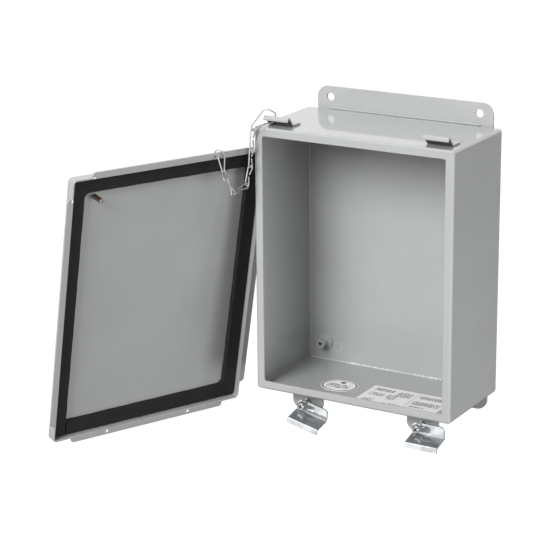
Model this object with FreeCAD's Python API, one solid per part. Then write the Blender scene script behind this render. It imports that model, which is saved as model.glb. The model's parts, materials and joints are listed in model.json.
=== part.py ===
import FreeCAD, Part
import math
import os

# A lift-off cover steel wall enclosure, in millimetres.
# X runs to the right, Y runs back to the wall, Z runs up.
# The origin is the centre of the four wall holes, on the wall plane.

Vector = FreeCAD.Vector

# Body
BODY_WIDTH = 203.2
BODY_HEIGHT = 254.0
BODY_DEPTH = 101.6
BODY_SHEET = 1.9
BODY_LIP = 8.3
BODY_FRONT_RADIUS = 2.4
BODY_CORNER_RADIUS = 3.0
BODY_BACK_RADIUS = 4.0
BODY_OPENING_RADIUS = 2.0

# Mounting feet on the wall plane
FOOT_SHEET = 1.9
FOOT_WIDTH = 183.0
FOOT_REACH = 21.4
FOOT_LAP = 24.0
FOOT_CORNER_RADIUS = 11.0
WALL_HOLE_DIAMETER = 7.9
WALL_HOLE_SPACING = 155.2
WALL_HOLE_OFFSET = 11.1

FOOT_WELD_LEG = 2.2
FOOT_WELD_INSET = 12.0

# Collar studs that carry an inner panel
COLLAR_INSET_X = 19.6
COLLAR_INSET_Z = 20.5
COLLAR_BASE_DIAMETER = 16.0
COLLAR_BASE_HEIGHT = 1.6
COLLAR_STEP_DIAMETER = 12.0
COLLAR_STEP_HEIGHT = 1.4
COLLAR_DIAMETER = 8.0
COLLAR_LENGTH = 12.0
COLLAR_BORE_DIAMETER = 5.0
COLLAR_BORE_DEPTH = 9.0

# Hooks on the top that hold the cover's upper lip
HOOK_WIDTH = 25.7
HOOK_INSET = 20.6
HOOK_SHEET = 1.9
HOOK_BASE_LENGTH = 13.0
HOOK_SETBACK = 14.5
HOOK_RISE = 11.5
HOOK_RUN = 9.0
HOOK_LIP_DROP = 5.6
HOOK_BEND_RADIUS = 1.0
CHAIN_HOLE_DIAMETER = 4.6
CHAIN_HOLE_INSET = 7.6

# Clamp brackets under the body
BRACKET_WIDTH = 33.0
BRACKET_SHEET = 1.9
BRACKET_DROP = 23.5
BRACKET_SETBACK = 27.0
BRACKET_FOOT = 14.0
BRACKET_CORNER_RADIUS = 8.0
BRACKET_BEND_RADIUS = 1.5
CLAMP_SPACING = 122.0
NUT_DIAMETER = 9.5
NUT_SPIGOT_DIAMETER = 7.5
NUT_HEIGHT = 4.0

# Clamps and their screws
SCREW_DROP = 16.0
SCREW_DIAMETER = 4.8
SCREW_LENGTH = 20.0
SCREW_HEAD_DIAMETER = 8.2
SCREW_HEAD_HEIGHT = 3.0
SCREW_HEAD_RADIUS = 1.35
SCREW_RECESS_WIDTH = 1.1
SCREW_RECESS_SPAN = 4.4
SCREW_RECESS_DEPTH = 1.6
THREAD_CLEARANCE = 0.06
LOCK_WASHER_THICKNESS = 1.2
LOCK_WASHER_RISE = 0.8
LOCK_WASHER_DIAMETER = 8.0
LOCK_WASHER_SWEEP = 345.0
WASHER_CLEARANCE = 0.08
CLAMP_SHEET = 1.5
CLAMP_WIDTH = 33.0
CLAMP_SETBACK = 17.5
CLAMP_TOP = 5.2
CLAMP_PLATE_DROP = 6.1
CLAMP_WEB_RUN = 16.0
CLAMP_WEB_FALL = 4.3
CLAMP_LIP_DROP = 4.4
CLAMP_BEND_RADIUS = 0.8
CLAMP_CORNER_RADIUS = 4.5
CLAMP_SLOT_LENGTH = 16.3
CLAMP_SLOT_WIDTH = 5.9
CLAMP_SLOT_INSET = 2.7
CLAMP_LEFT_TURN = 13.0
RUNNING_GAP = 0.1

# Cover
COVER_SHEET = 1.6
COVER_CLEARANCE = 2.3
COVER_RIM_DEPTH = 9.0
COVER_LIP = 4.8
COVER_LIP_STOP_X = 19.5
COVER_LIP_STOP_Z = 17.5
COVER_LIP_RADIUS = 3.6
COVER_CORNER_RADIUS = 4.0
COVER_BEND_RADIUS = 2.6
COVER_HOLE_DIAMETER = 3.4
COVER_HOLE_SPACING = 92.0
COVER_HOLE_RISE = 1.7
CHAIN_LIP_HOLE_DIAMETER = 3.2
CHAIN_LIP_HOLE_INSET = 57.0
GASKET_WIDTH = 14.9
GASKET_THICKNESS = 4.5
GASKET_INNER_RADIUS = 8.0
GASKET_SEAM_X = 13.0
GASKET_SEAM_GAP = 0.3
BOND_STUD_INSET_X = 27.9
BOND_STUD_INSET_Z = 21.3
BOND_STUD_DIAMETER = 4.8
BOND_STUD_LENGTH = 12.0

# Where the lifted-off cover stands beside the body
COVER_YAW = 67.5
COVER_LEAN = 10.2
COVER_ROLL = 1.0
COVER_CORNER_OUT = 9.75
COVER_CORNER_BACK = 27.1
COVER_CORNER_DOWN = 26.9

# Chain between the left hook and the cover
CHAIN_WIRE = 1.4
CHAIN_LOOP_RADIUS = 2.9
CHAIN_LOOP_SPREAD = 12.9
CHAIN_GAP = 0.15
CHAIN_BEND_SHARE = 0.78
CHAIN_WAIST_OFFSET = 0.2
CHAIN_WAIST_GAP = 0.84
CHAIN_TOP_IN = 2.4
CHAIN_TOP_FORWARD = 5.3
CHAIN_TOP_DOWN = 2.6
CHAIN_DIRECTIONS = ((-115.0, -85.0), (-115.0, -84.0), (-115.0, -75.0), (-107.0, -15.0), (-110.0, 63.0))
CHAIN_PLANE_AZIMUTH = -112.0
CLIP_WIRE = 1.4
CLIP_EYE_HALF = 2.4
CLIP_EYE_HEIGHT = 4.2
CLIP_EYE_CURL = 2.2
CLIP_EYE_CURL_HEIGHT = 1.9
CLIP_TAIL_HALF = 3.8
CLIP_TAIL_HEIGHT = 2.9
CLIP_WAIST_HALF = 1.0
CLIP_WAIST_HEIGHT = 8.5
CLIP_STAND_OFF = 2.2
CLIP_CROWN = 1.5
CLIP_SEAT_GAP = 0.3
CLIP_EYE_FOLLOW = 2.2
CLIP_OVER_NEAR = 2.0
CLIP_OVER_FAR = 6.0
CLIP_FOOT_OUT = 8.0
CLIP_FOOT_DROP = 2.0
CLIP_ARCH_OUT = 1.8
CLIP_ARCH_FORWARD = 1.6
CLIP_ARCH_RISE = 1.0
CLIP_ARCH_CROWN = 4.3
CLIP_ARCH_SPAN = 5.2
CLIP_ARCH_BACK = 3.6
CLIP_ARCH_SKEW = 1.0
CLIP_TAIL_OUT = 4.4
CLIP_TAIL_FORWARD = 4.4
CLIP_TAIL_END = 3.4

# Labels on the inner floor
OVAL_LABEL_WIDTH = 37.0
OVAL_LABEL_DEPTH = 31.0
OVAL_LABEL_X = -33.0
OVAL_LABEL_SETBACK = 38.5
PLATE_LABEL_LEFT = -3.5
PLATE_LABEL_RIGHT = 79.6
PLATE_LABEL_SETBACK = 10.0
PLATE_LABEL_DEPTH = 45.6
LABEL_THICKNESS = 0.25

# Places worked out from the sizes above
BACK_Y = -FOOT_SHEET
FRONT_Y = BACK_Y - BODY_DEPTH
HALF_WIDTH = BODY_WIDTH / 2
HALF_HEIGHT = BODY_HEIGHT / 2
HOOK_X = HALF_WIDTH - HOOK_INSET
COVER_HALF_WIDTH = HALF_WIDTH + COVER_CLEARANCE
COVER_HALF_HEIGHT = HALF_HEIGHT + COVER_CLEARANCE
BOND_STUD_X = COVER_HALF_WIDTH - BOND_STUD_INSET_X
BOND_STUD_Z = COVER_HALF_HEIGHT - BOND_STUD_INSET_Z
CHAIN_LIP_HOLE_X = COVER_HALF_WIDTH - CHAIN_LIP_HOLE_INSET
SCREW_Z = -HALF_HEIGHT - SCREW_DROP
CLAMP_Y = FRONT_Y + CLAMP_SETBACK
CLAMP_X = CLAMP_SPACING / 2
CHAIN_TOP = Vector(-HALF_WIDTH + CHAIN_TOP_IN, FRONT_Y - CHAIN_TOP_FORWARD, HALF_HEIGHT - CHAIN_TOP_DOWN)
CHAIN_HANG = CHAIN_LOOP_RADIUS - CHAIN_WIRE - CHAIN_GAP
LEFT = -1
RIGHT = 1
AXIS_X = Vector(1, 0, 0)
AXIS_Y = Vector(0, 1, 0)
AXIS_Z = Vector(0, 0, 1)


def save(name, shape):
    """Write one piece, or a group of like pieces, as a STEP file."""
    shape.exportStep("parts/" + name + ".step")
    print(name, len(shape.Solids), round(shape.Volume, 1), shape.isValid())


def block(x_low, x_high, y_low, y_high, z_low, z_high):
    """A box between two corners."""
    corner = Vector(x_low, y_low, z_low)
    return Part.makeBox(x_high - x_low, y_high - y_low, z_high - z_low, corner)


def rod(centre, axis, diameter, length):
    """A round bar that starts at a point and runs along an axis."""
    return Part.makeCylinder(diameter / 2, length, centre, axis)


def edges_along(shape, axis, keep):
    """The straight edges of a shape that run along an axis and pass a test on their centre."""
    found = []
    for edge in shape.Edges:
        if edge.Curve.TypeId != "Part::GeomLine":
            continue
        run = edge.Vertexes[1].Point - edge.Vertexes[0].Point
        if run.normalize().cross(axis).Length > 1e-6:
            continue
        if keep(edge.CenterOfMass):
            found.append(edge)
    return found


def rounded_points(points, radii):
    """Edges of a path of straight runs joined by tangent arcs."""
    edges = []
    start = points[0]
    for before, corner, after, radius in zip(points, points[1:], points[2:], radii):
        back = (before - corner).normalize()
        ahead = (after - corner).normalize()
        half_angle = back.getAngle(ahead) / 2
        reach = radius / math.tan(half_angle)
        first = corner + back * reach
        last = corner + ahead * reach
        bisector = (back + ahead).normalize()
        middle = corner + bisector * (radius / math.sin(half_angle) - radius)
        if (first - start).Length > 1e-4:
            edges.append(Part.makeLine(start, first))
        edges.append(Part.Arc(first, middle, last).toShape())
        start = last
    edges.append(Part.makeLine(start, points[-1]))
    return edges


def rounded_polygon(corners, radii):
    """A closed outline with a radius at each corner, where none is 0."""
    count = len(corners)
    edges = []
    ends = []
    for index in range(count):
        corner = corners[index]
        radius = radii[index]
        back = (corners[index - 1] - corner).normalize()
        ahead = (corners[(index + 1) % count] - corner).normalize()
        if radius == 0:
            ends.append((corner, corner, None))
            continue
        half_angle = back.getAngle(ahead) / 2
        reach = radius / math.tan(half_angle)
        bisector = (back + ahead).normalize()
        middle = corner + bisector * (radius / math.sin(half_angle) - radius)
        ends.append((corner + back * reach, corner + ahead * reach, middle))
    for index in range(count):
        first, last, middle = ends[index]
        if middle is not None:
            edges.append(Part.Arc(first, middle, last).toShape())
        following = ends[(index + 1) % count][0]
        if (following - last).Length > 1e-4:
            edges.append(Part.makeLine(last, following))
    return Part.Face(Part.Wire(edges))


def bent_sheet(centre_line, thickness, bend_radius):
    """The side view of a folded sheet: its middle line given a thickness and inner bend radii."""
    normals = []
    plane = (centre_line[1] - centre_line[0]).cross(centre_line[2] - centre_line[1]).normalize()
    for first, second in zip(centre_line, centre_line[1:]):
        normals.append(plane.cross(second - first).normalize())
    sides = ([], [])
    radii = ([], [])
    last = len(centre_line) - 1
    for index, point in enumerate(centre_line):
        before = normals[max(index - 1, 0)]
        after = normals[min(index, last - 1)]
        mitre = (before + after) * (thickness / 2 / (1 + before.dot(after)))
        sides[0].append(point + mitre)
        sides[1].append(point - mitre)
        inner, outer = bend_radius, bend_radius + thickness
        if index in (0, last):
            inner, outer = 0, 0
        run = centre_line[min(index + 1, last)] - point
        turns_left = before.dot(run) > 0
        radii[0].append(inner if turns_left else outer)
        radii[1].append(outer if turns_left else inner)
    corners = sides[0] + sides[1][::-1]
    return rounded_polygon(corners, radii[0] + radii[1][::-1])


def wire_form(points, diameter, radii):
    """A bent wire of round section along straight runs joined by tangent arcs."""
    path = Part.Wire(rounded_points(points, radii))
    direction = (points[1] - points[0]).normalize()
    section = Part.Wire(Part.makeCircle(diameter / 2, points[0], direction))
    return path.makePipeShell([section], True, False)


def build_body():
    """The welded box: five walls and a lip turned inward all round its open front."""
    outer = block(-HALF_WIDTH, HALF_WIDTH, FRONT_Y, BACK_Y, -HALF_HEIGHT, HALF_HEIGHT)
    front_to_back = edges_along(outer, AXIS_Y, lambda centre: True)
    outer = outer.makeFillet(BODY_CORNER_RADIUS, front_to_back)
    back_edges = edges_along(outer, AXIS_Z, lambda centre: centre.y > BACK_Y - 0.1)
    outer = outer.makeFillet(BODY_BACK_RADIUS, back_edges)
    front_face = [face for face in outer.Faces if abs(face.CenterOfMass.y - FRONT_Y) < 1e-3][0]
    outer = outer.makeFillet(BODY_FRONT_RADIUS, front_face.Edges)
    inner_x = HALF_WIDTH - BODY_SHEET
    inner_z = HALF_HEIGHT - BODY_SHEET
    inner = block(-inner_x, inner_x, FRONT_Y + BODY_SHEET, BACK_Y - BODY_SHEET, -inner_z, inner_z)
    inner_corners = edges_along(inner, AXIS_Y, lambda centre: True)
    inner = inner.makeFillet(BODY_CORNER_RADIUS - BODY_SHEET, inner_corners)
    opening_x = HALF_WIDTH - BODY_LIP
    opening_z = HALF_HEIGHT - BODY_LIP
    opening = block(-opening_x, opening_x, FRONT_Y - BODY_SHEET, FRONT_Y + 2 * BODY_SHEET,
                    -opening_z, opening_z)
    opening = opening.makeFillet(BODY_OPENING_RADIUS, edges_along(opening, AXIS_Y, lambda centre: True))
    return outer.cut(inner).cut(opening)


def build_foot(side):
    """A mounting plate welded across the back, with a wall hole at each end."""
    edge_z = side * HALF_HEIGHT
    low = -FOOT_LAP
    high = FOOT_REACH
    plate = block(-FOOT_WIDTH / 2, FOOT_WIDTH / 2, BACK_Y, 0, low, high)
    corners = edges_along(plate, AXIS_Y, lambda centre: centre.z > 0)
    plate = plate.makeFillet(FOOT_CORNER_RADIUS, corners)
    for hand in (LEFT, RIGHT):
        hole_centre = Vector(hand * WALL_HOLE_SPACING / 2, BACK_Y - 1, WALL_HOLE_OFFSET)
        plate = plate.cut(rod(hole_centre, AXIS_Y, WALL_HOLE_DIAMETER, FOOT_SHEET + 2))
    if side < 0:
        plate.rotate(Vector(0, 0, 0), AXIS_Y, 180)
    plate.translate(Vector(0, 0, edge_z))
    return plate


def build_collar_stud(side_x, side_z):
    """A stepped collar welded to the back wall, tapped from the front."""
    wall_y = BACK_Y - BODY_SHEET
    forward = Vector(0, -1, 0)
    place = Vector(side_x * (HALF_WIDTH - COLLAR_INSET_X), wall_y, side_z * (HALF_HEIGHT - COLLAR_INSET_Z))
    stud = rod(place, forward, COLLAR_BASE_DIAMETER, COLLAR_BASE_HEIGHT)
    step_start = place + forward * COLLAR_BASE_HEIGHT
    stud = stud.fuse(rod(step_start, forward, COLLAR_STEP_DIAMETER, COLLAR_STEP_HEIGHT))
    stud = stud.fuse(rod(place, forward, COLLAR_DIAMETER, COLLAR_LENGTH)).removeSplitter()
    bore_start = place + forward * (COLLAR_LENGTH - COLLAR_BORE_DEPTH)
    return stud.cut(rod(bore_start, forward, COLLAR_BORE_DIAMETER, COLLAR_BORE_DEPTH + 1))


def hook_line():
    """The hook's middle line, seen from the side: base, slanting web and front lip."""
    half = HOOK_SHEET / 2
    top_z = HALF_HEIGHT + half
    heel = Vector(0, FRONT_Y + HOOK_SETBACK, top_z)
    tail = heel + Vector(0, HOOK_BASE_LENGTH, 0)
    ridge = heel + Vector(0, -HOOK_RUN, HOOK_RISE - half)
    tip = ridge + Vector(0, -half, -HOOK_LIP_DROP)
    return [tail, heel, ridge, tip]


def build_hook(side):
    """A sheet hook welded to the top, open to the front below its lip."""
    profile = bent_sheet(hook_line(), HOOK_SHEET, HOOK_BEND_RADIUS)
    hook = profile.extrude(Vector(HOOK_WIDTH, 0, 0))
    hook.translate(Vector(side * HOOK_X - HOOK_WIDTH / 2, 0, 0))
    if side == LEFT:
        hook = hook.cut(chain_hole())
    return hook


def chain_hole():
    """The hole through the left hook's web that takes the chain's upper clip."""
    tail, heel, ridge, tip = hook_line()
    through = AXIS_X.cross((ridge - heel).normalize())
    start = chain_hole_centre() - through * HOOK_SHEET * 2
    return rod(start, through, CHAIN_HOLE_DIAMETER, HOOK_SHEET * 4)


def chain_hole_centre():
    """Half way up the web, near the left hook's outer end."""
    tail, heel, ridge, tip = hook_line()
    left_end = -HOOK_X - HOOK_WIDTH / 2
    return (heel + ridge) / 2 + Vector(left_end + CHAIN_HOLE_INSET, 0, 0)


def build_bracket(side):
    """An angle welded under the body, with the clamp screw's nut pressed into it."""
    half = BRACKET_SHEET / 2
    underside = -HALF_HEIGHT
    plate_y = FRONT_Y + BRACKET_SETBACK + half
    tail = Vector(0, plate_y + BRACKET_FOOT, underside - half)
    bend = Vector(0, plate_y, underside - half)
    toe = Vector(0, plate_y, underside - BRACKET_DROP)
    profile = bent_sheet([tail, bend, toe], BRACKET_SHEET, BRACKET_BEND_RADIUS)
    bracket = profile.extrude(Vector(BRACKET_WIDTH, 0, 0))
    bracket.translate(Vector(side * CLAMP_X - BRACKET_WIDTH / 2, 0, 0))
    lower = edges_along(bracket, AXIS_Y, lambda centre: centre.z < underside - BRACKET_DROP + 0.1)
    bracket = bracket.makeFillet(BRACKET_CORNER_RADIUS, lower)
    hole_start = Vector(side * CLAMP_X, plate_y - BRACKET_SHEET, SCREW_Z)
    return bracket.cut(rod(hole_start, AXIS_Y, NUT_SPIGOT_DIAMETER, BRACKET_SHEET * 2))


def build_nut(side):
    """A round press-in nut behind the bracket, whose spigot fills the bracket's hole."""
    front = FRONT_Y + BRACKET_SETBACK
    start = Vector(side * CLAMP_X, front, SCREW_Z)
    nut = rod(start, AXIS_Y, NUT_SPIGOT_DIAMETER, BRACKET_SHEET)
    flange_start = start + AXIS_Y * BRACKET_SHEET
    nut = nut.fuse(rod(flange_start, AXIS_Y, NUT_DIAMETER, NUT_HEIGHT)).removeSplitter()
    bore = rod(start - AXIS_Y, AXIS_Y, SCREW_DIAMETER + 2 * THREAD_CLEARANCE, BRACKET_SHEET + NUT_HEIGHT + 2)
    return nut.cut(bore)


def clamp_line():
    """The clamp's middle line, seen from the side: slotted plate, web and lip."""
    top = Vector(0, CLAMP_Y, SCREW_Z + CLAMP_TOP)
    knee = Vector(0, CLAMP_Y, SCREW_Z - CLAMP_PLATE_DROP)
    nose = knee + Vector(0, -CLAMP_WEB_RUN, -CLAMP_WEB_FALL)
    tip = nose + Vector(0, 0, -CLAMP_LIP_DROP)
    return [top, knee, nose, tip]


def build_clamp(side):
    """A folded clip whose lip presses on the cover's lower lip when it is swung up."""
    profile = bent_sheet(clamp_line(), CLAMP_SHEET, CLAMP_BEND_RADIUS)
    clamp = profile.extrude(Vector(CLAMP_WIDTH, 0, 0))
    screw_x = side * CLAMP_X
    slot_left = screw_x - CLAMP_SLOT_WIDTH / 2
    clamp.translate(Vector(slot_left - CLAMP_SLOT_INSET, 0, 0))
    crown = edges_along(clamp, AXIS_Y, lambda centre: centre.z > SCREW_Z + CLAMP_TOP - 0.1)
    clamp = clamp.makeFillet(CLAMP_CORNER_RADIUS, crown)
    half = CLAMP_SLOT_WIDTH / 2
    slot_right = slot_left + CLAMP_SLOT_LENGTH
    slot = block(slot_left, slot_right, CLAMP_Y - CLAMP_SHEET, CLAMP_Y + CLAMP_SHEET,
                 SCREW_Z - half, SCREW_Z + half)
    slot = slot.makeFillet(half - 0.01, edges_along(slot, AXIS_Y, lambda centre: True))
    clamp = clamp.cut(slot)
    if side == LEFT:
        clamp.rotate(Vector(screw_x, CLAMP_Y, SCREW_Z), AXIS_Y, CLAMP_LEFT_TURN)
    return clamp


def lock_washer_front():
    """Where the lock washer's front end lies, against the screw's head."""
    return CLAMP_Y - CLAMP_SHEET / 2 - RUNNING_GAP - LOCK_WASHER_THICKNESS - LOCK_WASHER_RISE


def build_lock_washer(side):
    """A spring washer: one turn of square bar that climbs from the clamp to the screw's head."""
    inner = SCREW_DIAMETER / 2 + WASHER_CLEARANCE
    outer = LOCK_WASHER_DIAMETER / 2
    share = LOCK_WASHER_SWEEP / 360
    path = Part.makeHelix(LOCK_WASHER_RISE / share, LOCK_WASHER_RISE, (inner + outer) / 2)
    corners = [Vector(inner, 0, 0), Vector(outer, 0, 0), Vector(outer, 0, LOCK_WASHER_THICKNESS),
               Vector(inner, 0, LOCK_WASHER_THICKNESS)]
    section = Part.makePolygon(corners + corners[:1])
    ring = Part.Wire(path).makePipeShell([section], True, True)
    ring.rotate(Vector(0, 0, 0), AXIS_X, -90)
    ring.translate(Vector(side * CLAMP_X, lock_washer_front(), SCREW_Z))
    return ring


def build_screw(side):
    """A pan-head screw with a cross recess, run part of the way into its nut."""
    under_head = lock_washer_front() - RUNNING_GAP
    start = Vector(side * CLAMP_X, under_head, SCREW_Z)
    shank = rod(start, AXIS_Y, SCREW_DIAMETER, SCREW_LENGTH)
    head = rod(start - AXIS_Y * SCREW_HEAD_HEIGHT, AXIS_Y, SCREW_HEAD_DIAMETER, SCREW_HEAD_HEIGHT)
    crown = [edge for edge in head.Edges if edge.CenterOfMass.y < under_head - SCREW_HEAD_HEIGHT + 0.1]
    head = head.makeFillet(SCREW_HEAD_RADIUS, crown[:1])
    front = under_head - SCREW_HEAD_HEIGHT
    half_span = SCREW_RECESS_SPAN / 2
    half_slot = SCREW_RECESS_WIDTH / 2
    recess_back = front + SCREW_RECESS_DEPTH
    across = block(start.x - half_span, start.x + half_span, front - 1, recess_back,
                   SCREW_Z - half_slot, SCREW_Z + half_slot)
    upright = block(start.x - half_slot, start.x + half_slot, front - 1, recess_back,
                    SCREW_Z - half_span, SCREW_Z + half_span)
    return shank.fuse(head).cut(across).cut(upright)


def cover_place():
    """Where the cover stands: turned, and its upper corner by the chain set beside the body."""
    turn = FreeCAD.Rotation(AXIS_Z, COVER_YAW)
    turn = turn.multiply(FreeCAD.Rotation(AXIS_X, COVER_LEAN))
    turn = turn.multiply(FreeCAD.Rotation(AXIS_Y, COVER_ROLL))
    stand = Vector(-HALF_WIDTH - COVER_CORNER_OUT, FRONT_Y + COVER_CORNER_BACK,
                   HALF_HEIGHT - COVER_CORNER_DOWN)
    corner = turn.multVec(Vector(COVER_HALF_WIDTH, 0, COVER_HALF_HEIGHT))
    return FreeCAD.Placement(stand - corner, turn)


def stand_cover(shape):
    """Move a piece of the cover from its own frame to where the cover stands."""
    moved = shape.copy()
    moved.Placement = cover_place().multiply(moved.Placement)
    return moved


def cover_point(x, y, z):
    """A point of the cover's own frame, where the cover stands."""
    return cover_place().multVec(Vector(x, y, z))


def cover_lip(half_run, root, tip):
    """One turned-out lip as a flat shape, its run along X and its reach along Z."""
    corners = [Vector(-half_run, 0, root), Vector(half_run, 0, root), Vector(half_run, 0, tip),
               Vector(-half_run, 0, tip)]
    return rounded_polygon(corners, [0, 0, COVER_LIP_RADIUS, COVER_LIP_RADIUS])


def chain_lip_hole_z():
    """Height of the holes along the middle of the cover's upper and lower lips."""
    return COVER_HALF_HEIGHT + COVER_SHEET + COVER_HOLE_RISE


def build_cover():
    """A shallow pan with its rim turned toward the body and a lip turned out along each side."""
    outer_x = COVER_HALF_WIDTH + COVER_SHEET
    outer_z = COVER_HALF_HEIGHT + COVER_SHEET
    pan = block(-outer_x, outer_x, -COVER_RIM_DEPTH, COVER_SHEET, -outer_z, outer_z)
    pan = pan.makeFillet(COVER_CORNER_RADIUS, edges_along(pan, AXIS_Y, lambda centre: True))
    face = [item for item in pan.Faces if abs(item.CenterOfMass.y - COVER_SHEET) < 1e-3][0]
    pan = pan.makeFillet(COVER_BEND_RADIUS, face.Edges)
    hollow = block(-COVER_HALF_WIDTH, COVER_HALF_WIDTH, -COVER_RIM_DEPTH - 1, 0,
                   -COVER_HALF_HEIGHT, COVER_HALF_HEIGHT)
    inner_radius = COVER_CORNER_RADIUS - COVER_SHEET
    hollow = hollow.makeFillet(inner_radius, edges_along(hollow, AXIS_Y, lambda centre: True))
    floor_face = [item for item in hollow.Faces if abs(item.CenterOfMass.y) < 1e-3][0]
    hollow = hollow.makeFillet(COVER_BEND_RADIUS - COVER_SHEET, floor_face.Edges)
    pan = pan.cut(hollow)
    for turn, half_run, wall in ((0, outer_x - COVER_LIP_STOP_X, COVER_HALF_HEIGHT),
                                 (90, outer_z - COVER_LIP_STOP_Z, COVER_HALF_WIDTH),
                                 (180, outer_x - COVER_LIP_STOP_X, COVER_HALF_HEIGHT),
                                 (270, outer_z - COVER_LIP_STOP_Z, COVER_HALF_WIDTH)):
        lip = cover_lip(half_run, wall + COVER_SHEET / 2, wall + COVER_SHEET + COVER_LIP)
        lip = lip.extrude(Vector(0, COVER_SHEET, 0))
        lip.translate(Vector(0, -COVER_RIM_DEPTH, 0))
        lip.rotate(Vector(0, 0, 0), AXIS_Y, turn)
        pan = pan.fuse(lip)
    pan = pan.removeSplitter()
    hole_z = chain_lip_hole_z()
    holes = [(-COVER_HOLE_SPACING / 2, -hole_z, COVER_HOLE_DIAMETER),
             (COVER_HOLE_SPACING / 2, -hole_z, COVER_HOLE_DIAMETER),
             (CHAIN_LIP_HOLE_X, hole_z, CHAIN_LIP_HOLE_DIAMETER)]
    for x, z, diameter in holes:
        start = Vector(x, -COVER_RIM_DEPTH - 1, z)
        pan = pan.cut(rod(start, AXIS_Y, diameter, COVER_SHEET + 2))
    return pan


def build_gasket():
    """A foam strip glued round the inside of the cover, butted at one lower corner."""
    bend_inside = COVER_BEND_RADIUS - COVER_SHEET
    outer_x = COVER_HALF_WIDTH - bend_inside
    outer_z = COVER_HALF_HEIGHT - bend_inside
    ring = block(-outer_x, outer_x, -GASKET_THICKNESS, 0, -outer_z, outer_z)
    outer_radius = COVER_CORNER_RADIUS - COVER_SHEET
    ring = ring.makeFillet(outer_radius, edges_along(ring, AXIS_Y, lambda centre: True))
    inner_x = COVER_HALF_WIDTH - GASKET_WIDTH
    inner_z = COVER_HALF_HEIGHT - GASKET_WIDTH
    window = block(-inner_x, inner_x, -GASKET_THICKNESS - 1, 1, -inner_z, inner_z)
    rounded = edges_along(window, AXIS_Y, lambda centre: centre.x > 0 or centre.z > 0)
    window = window.makeFillet(GASKET_INNER_RADIUS, rounded)
    seam_x = -outer_x + GASKET_SEAM_X
    seam = block(seam_x, seam_x + GASKET_SEAM_GAP, -GASKET_THICKNESS - 1, 1, -outer_z - 1, -inner_z + 1)
    return ring.cut(window).cut(seam)


def build_bond_stud():
    """A copper-coloured threaded stud welded to the cover's inner face."""
    foot = Vector(-BOND_STUD_X, 0, BOND_STUD_Z)
    return rod(foot, Vector(0, -1, 0), BOND_STUD_DIAMETER, BOND_STUD_LENGTH)


def direction(azimuth, elevation):
    """A unit vector from its compass angle and its rise, in degrees."""
    yaw = math.radians(azimuth)
    rise = math.radians(elevation)
    return Vector(math.cos(rise) * math.cos(yaw), math.cos(rise) * math.sin(yaw), math.sin(rise))


def link_path(start, run, across):
    """Corner points of one link's wire: a loop at each end, at right angles, and one long leg."""
    radius = CHAIN_LOOP_RADIUS
    upright = run.cross(across)
    end = start + run * CHAIN_LOOP_SPREAD
    waist = (start + end) / 2 + (across + upright) * CHAIN_WAIST_OFFSET
    gap = run * CHAIN_WAIST_GAP
    near = start - run * radius
    far = end + run * radius
    return [waist - gap,
            near + across * radius,
            near - across * radius,
            far - upright * radius,
            far + upright * radius,
            waist + gap]


def in_plane(vector, normal):
    """The unit direction of a vector once its part along a plane's normal is taken out."""
    along = normal * (vector.dot(normal) / normal.dot(normal))
    return (vector - along).normalize()


def build_chain():
    """The links from the top clip down, with the last far loop's centre, run and width."""
    bend = CHAIN_LOOP_RADIUS * CHAIN_BEND_SHARE
    centre = CHAIN_TOP
    upright = chain_plane_normal()
    links = []
    for azimuth, elevation in CHAIN_DIRECTIONS:
        run = direction(azimuth, elevation)
        if links:
            pull = in_plane(run, upright.cross(centre - start))
            start = centre + pull * CHAIN_LOOP_RADIUS + run * CHAIN_HANG
        else:
            start = centre + run * CHAIN_HANG
        across = upright.cross(run).normalize()
        links.append(wire_form(link_path(start, run, across), CHAIN_WIRE, [bend] * 4))
        upright = run.cross(across)
        centre = start + run * CHAIN_LOOP_SPREAD
    return links, centre, run, upright


def chain_plane_normal():
    """The level direction square to the plane in which the slack chain bends."""
    return direction(CHAIN_PLANE_AZIMUTH + 90, 0)


def clip_eye(bottom, up, side):
    """Points of a clip's lower end: one leg curled into an eye, the other ending beside it."""
    curl = [bottom + side * CLIP_EYE_CURL + up * CLIP_EYE_CURL_HEIGHT,
            bottom + side * CLIP_EYE_HALF,
            bottom - side * CLIP_EYE_HALF,
            bottom - side * CLIP_EYE_HALF + up * CLIP_EYE_HEIGHT,
            bottom - side * CLIP_WAIST_HALF + up * CLIP_WAIST_HEIGHT]
    tail = [bottom + side * CLIP_WAIST_HALF + up * CLIP_WAIST_HEIGHT,
            bottom + side * CLIP_TAIL_HALF + up * CLIP_TAIL_HEIGHT]
    return curl, tail


def build_lower_clip(centre, run, upright):
    """A wire clip from the last link up through the hole in the cover's upper lip."""
    hole_z = chain_lip_hole_z()
    tip_z = COVER_HALF_HEIGHT + COVER_SHEET + COVER_LIP
    front_y = -COVER_RIM_DEPTH - CLIP_STAND_OFF
    back_y = -COVER_RIM_DEPTH + COVER_SHEET + CLIP_STAND_OFF
    crown_z = tip_z + CLIP_CROWN
    hole_x = CHAIN_LIP_HOLE_X
    entry = cover_point(hole_x, front_y, hole_z)
    up = (run * CLIP_EYE_FOLLOW + (entry - centre).normalize()).normalize()
    pull = in_plane(up, upright.cross(run))
    bottom = centre + pull * CHAIN_HANG
    side = upright.cross(up).normalize()
    if side.dot(cover_point(1, 0, 0) - cover_point(0, 0, 0)) < 0:
        side = -side
    curl, tail = clip_eye(bottom, up, side)
    over = [entry,
            cover_point(hole_x, back_y, hole_z),
            cover_point(hole_x + CLIP_OVER_NEAR, back_y, crown_z),
            cover_point(hole_x + CLIP_OVER_FAR, front_y, crown_z),
            cover_point(hole_x + CLIP_FOOT_OUT, front_y, hole_z - CLIP_FOOT_DROP)]
    points = curl + over + tail
    return wire_form(points, CLIP_WIRE, clip_radii(points))


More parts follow.
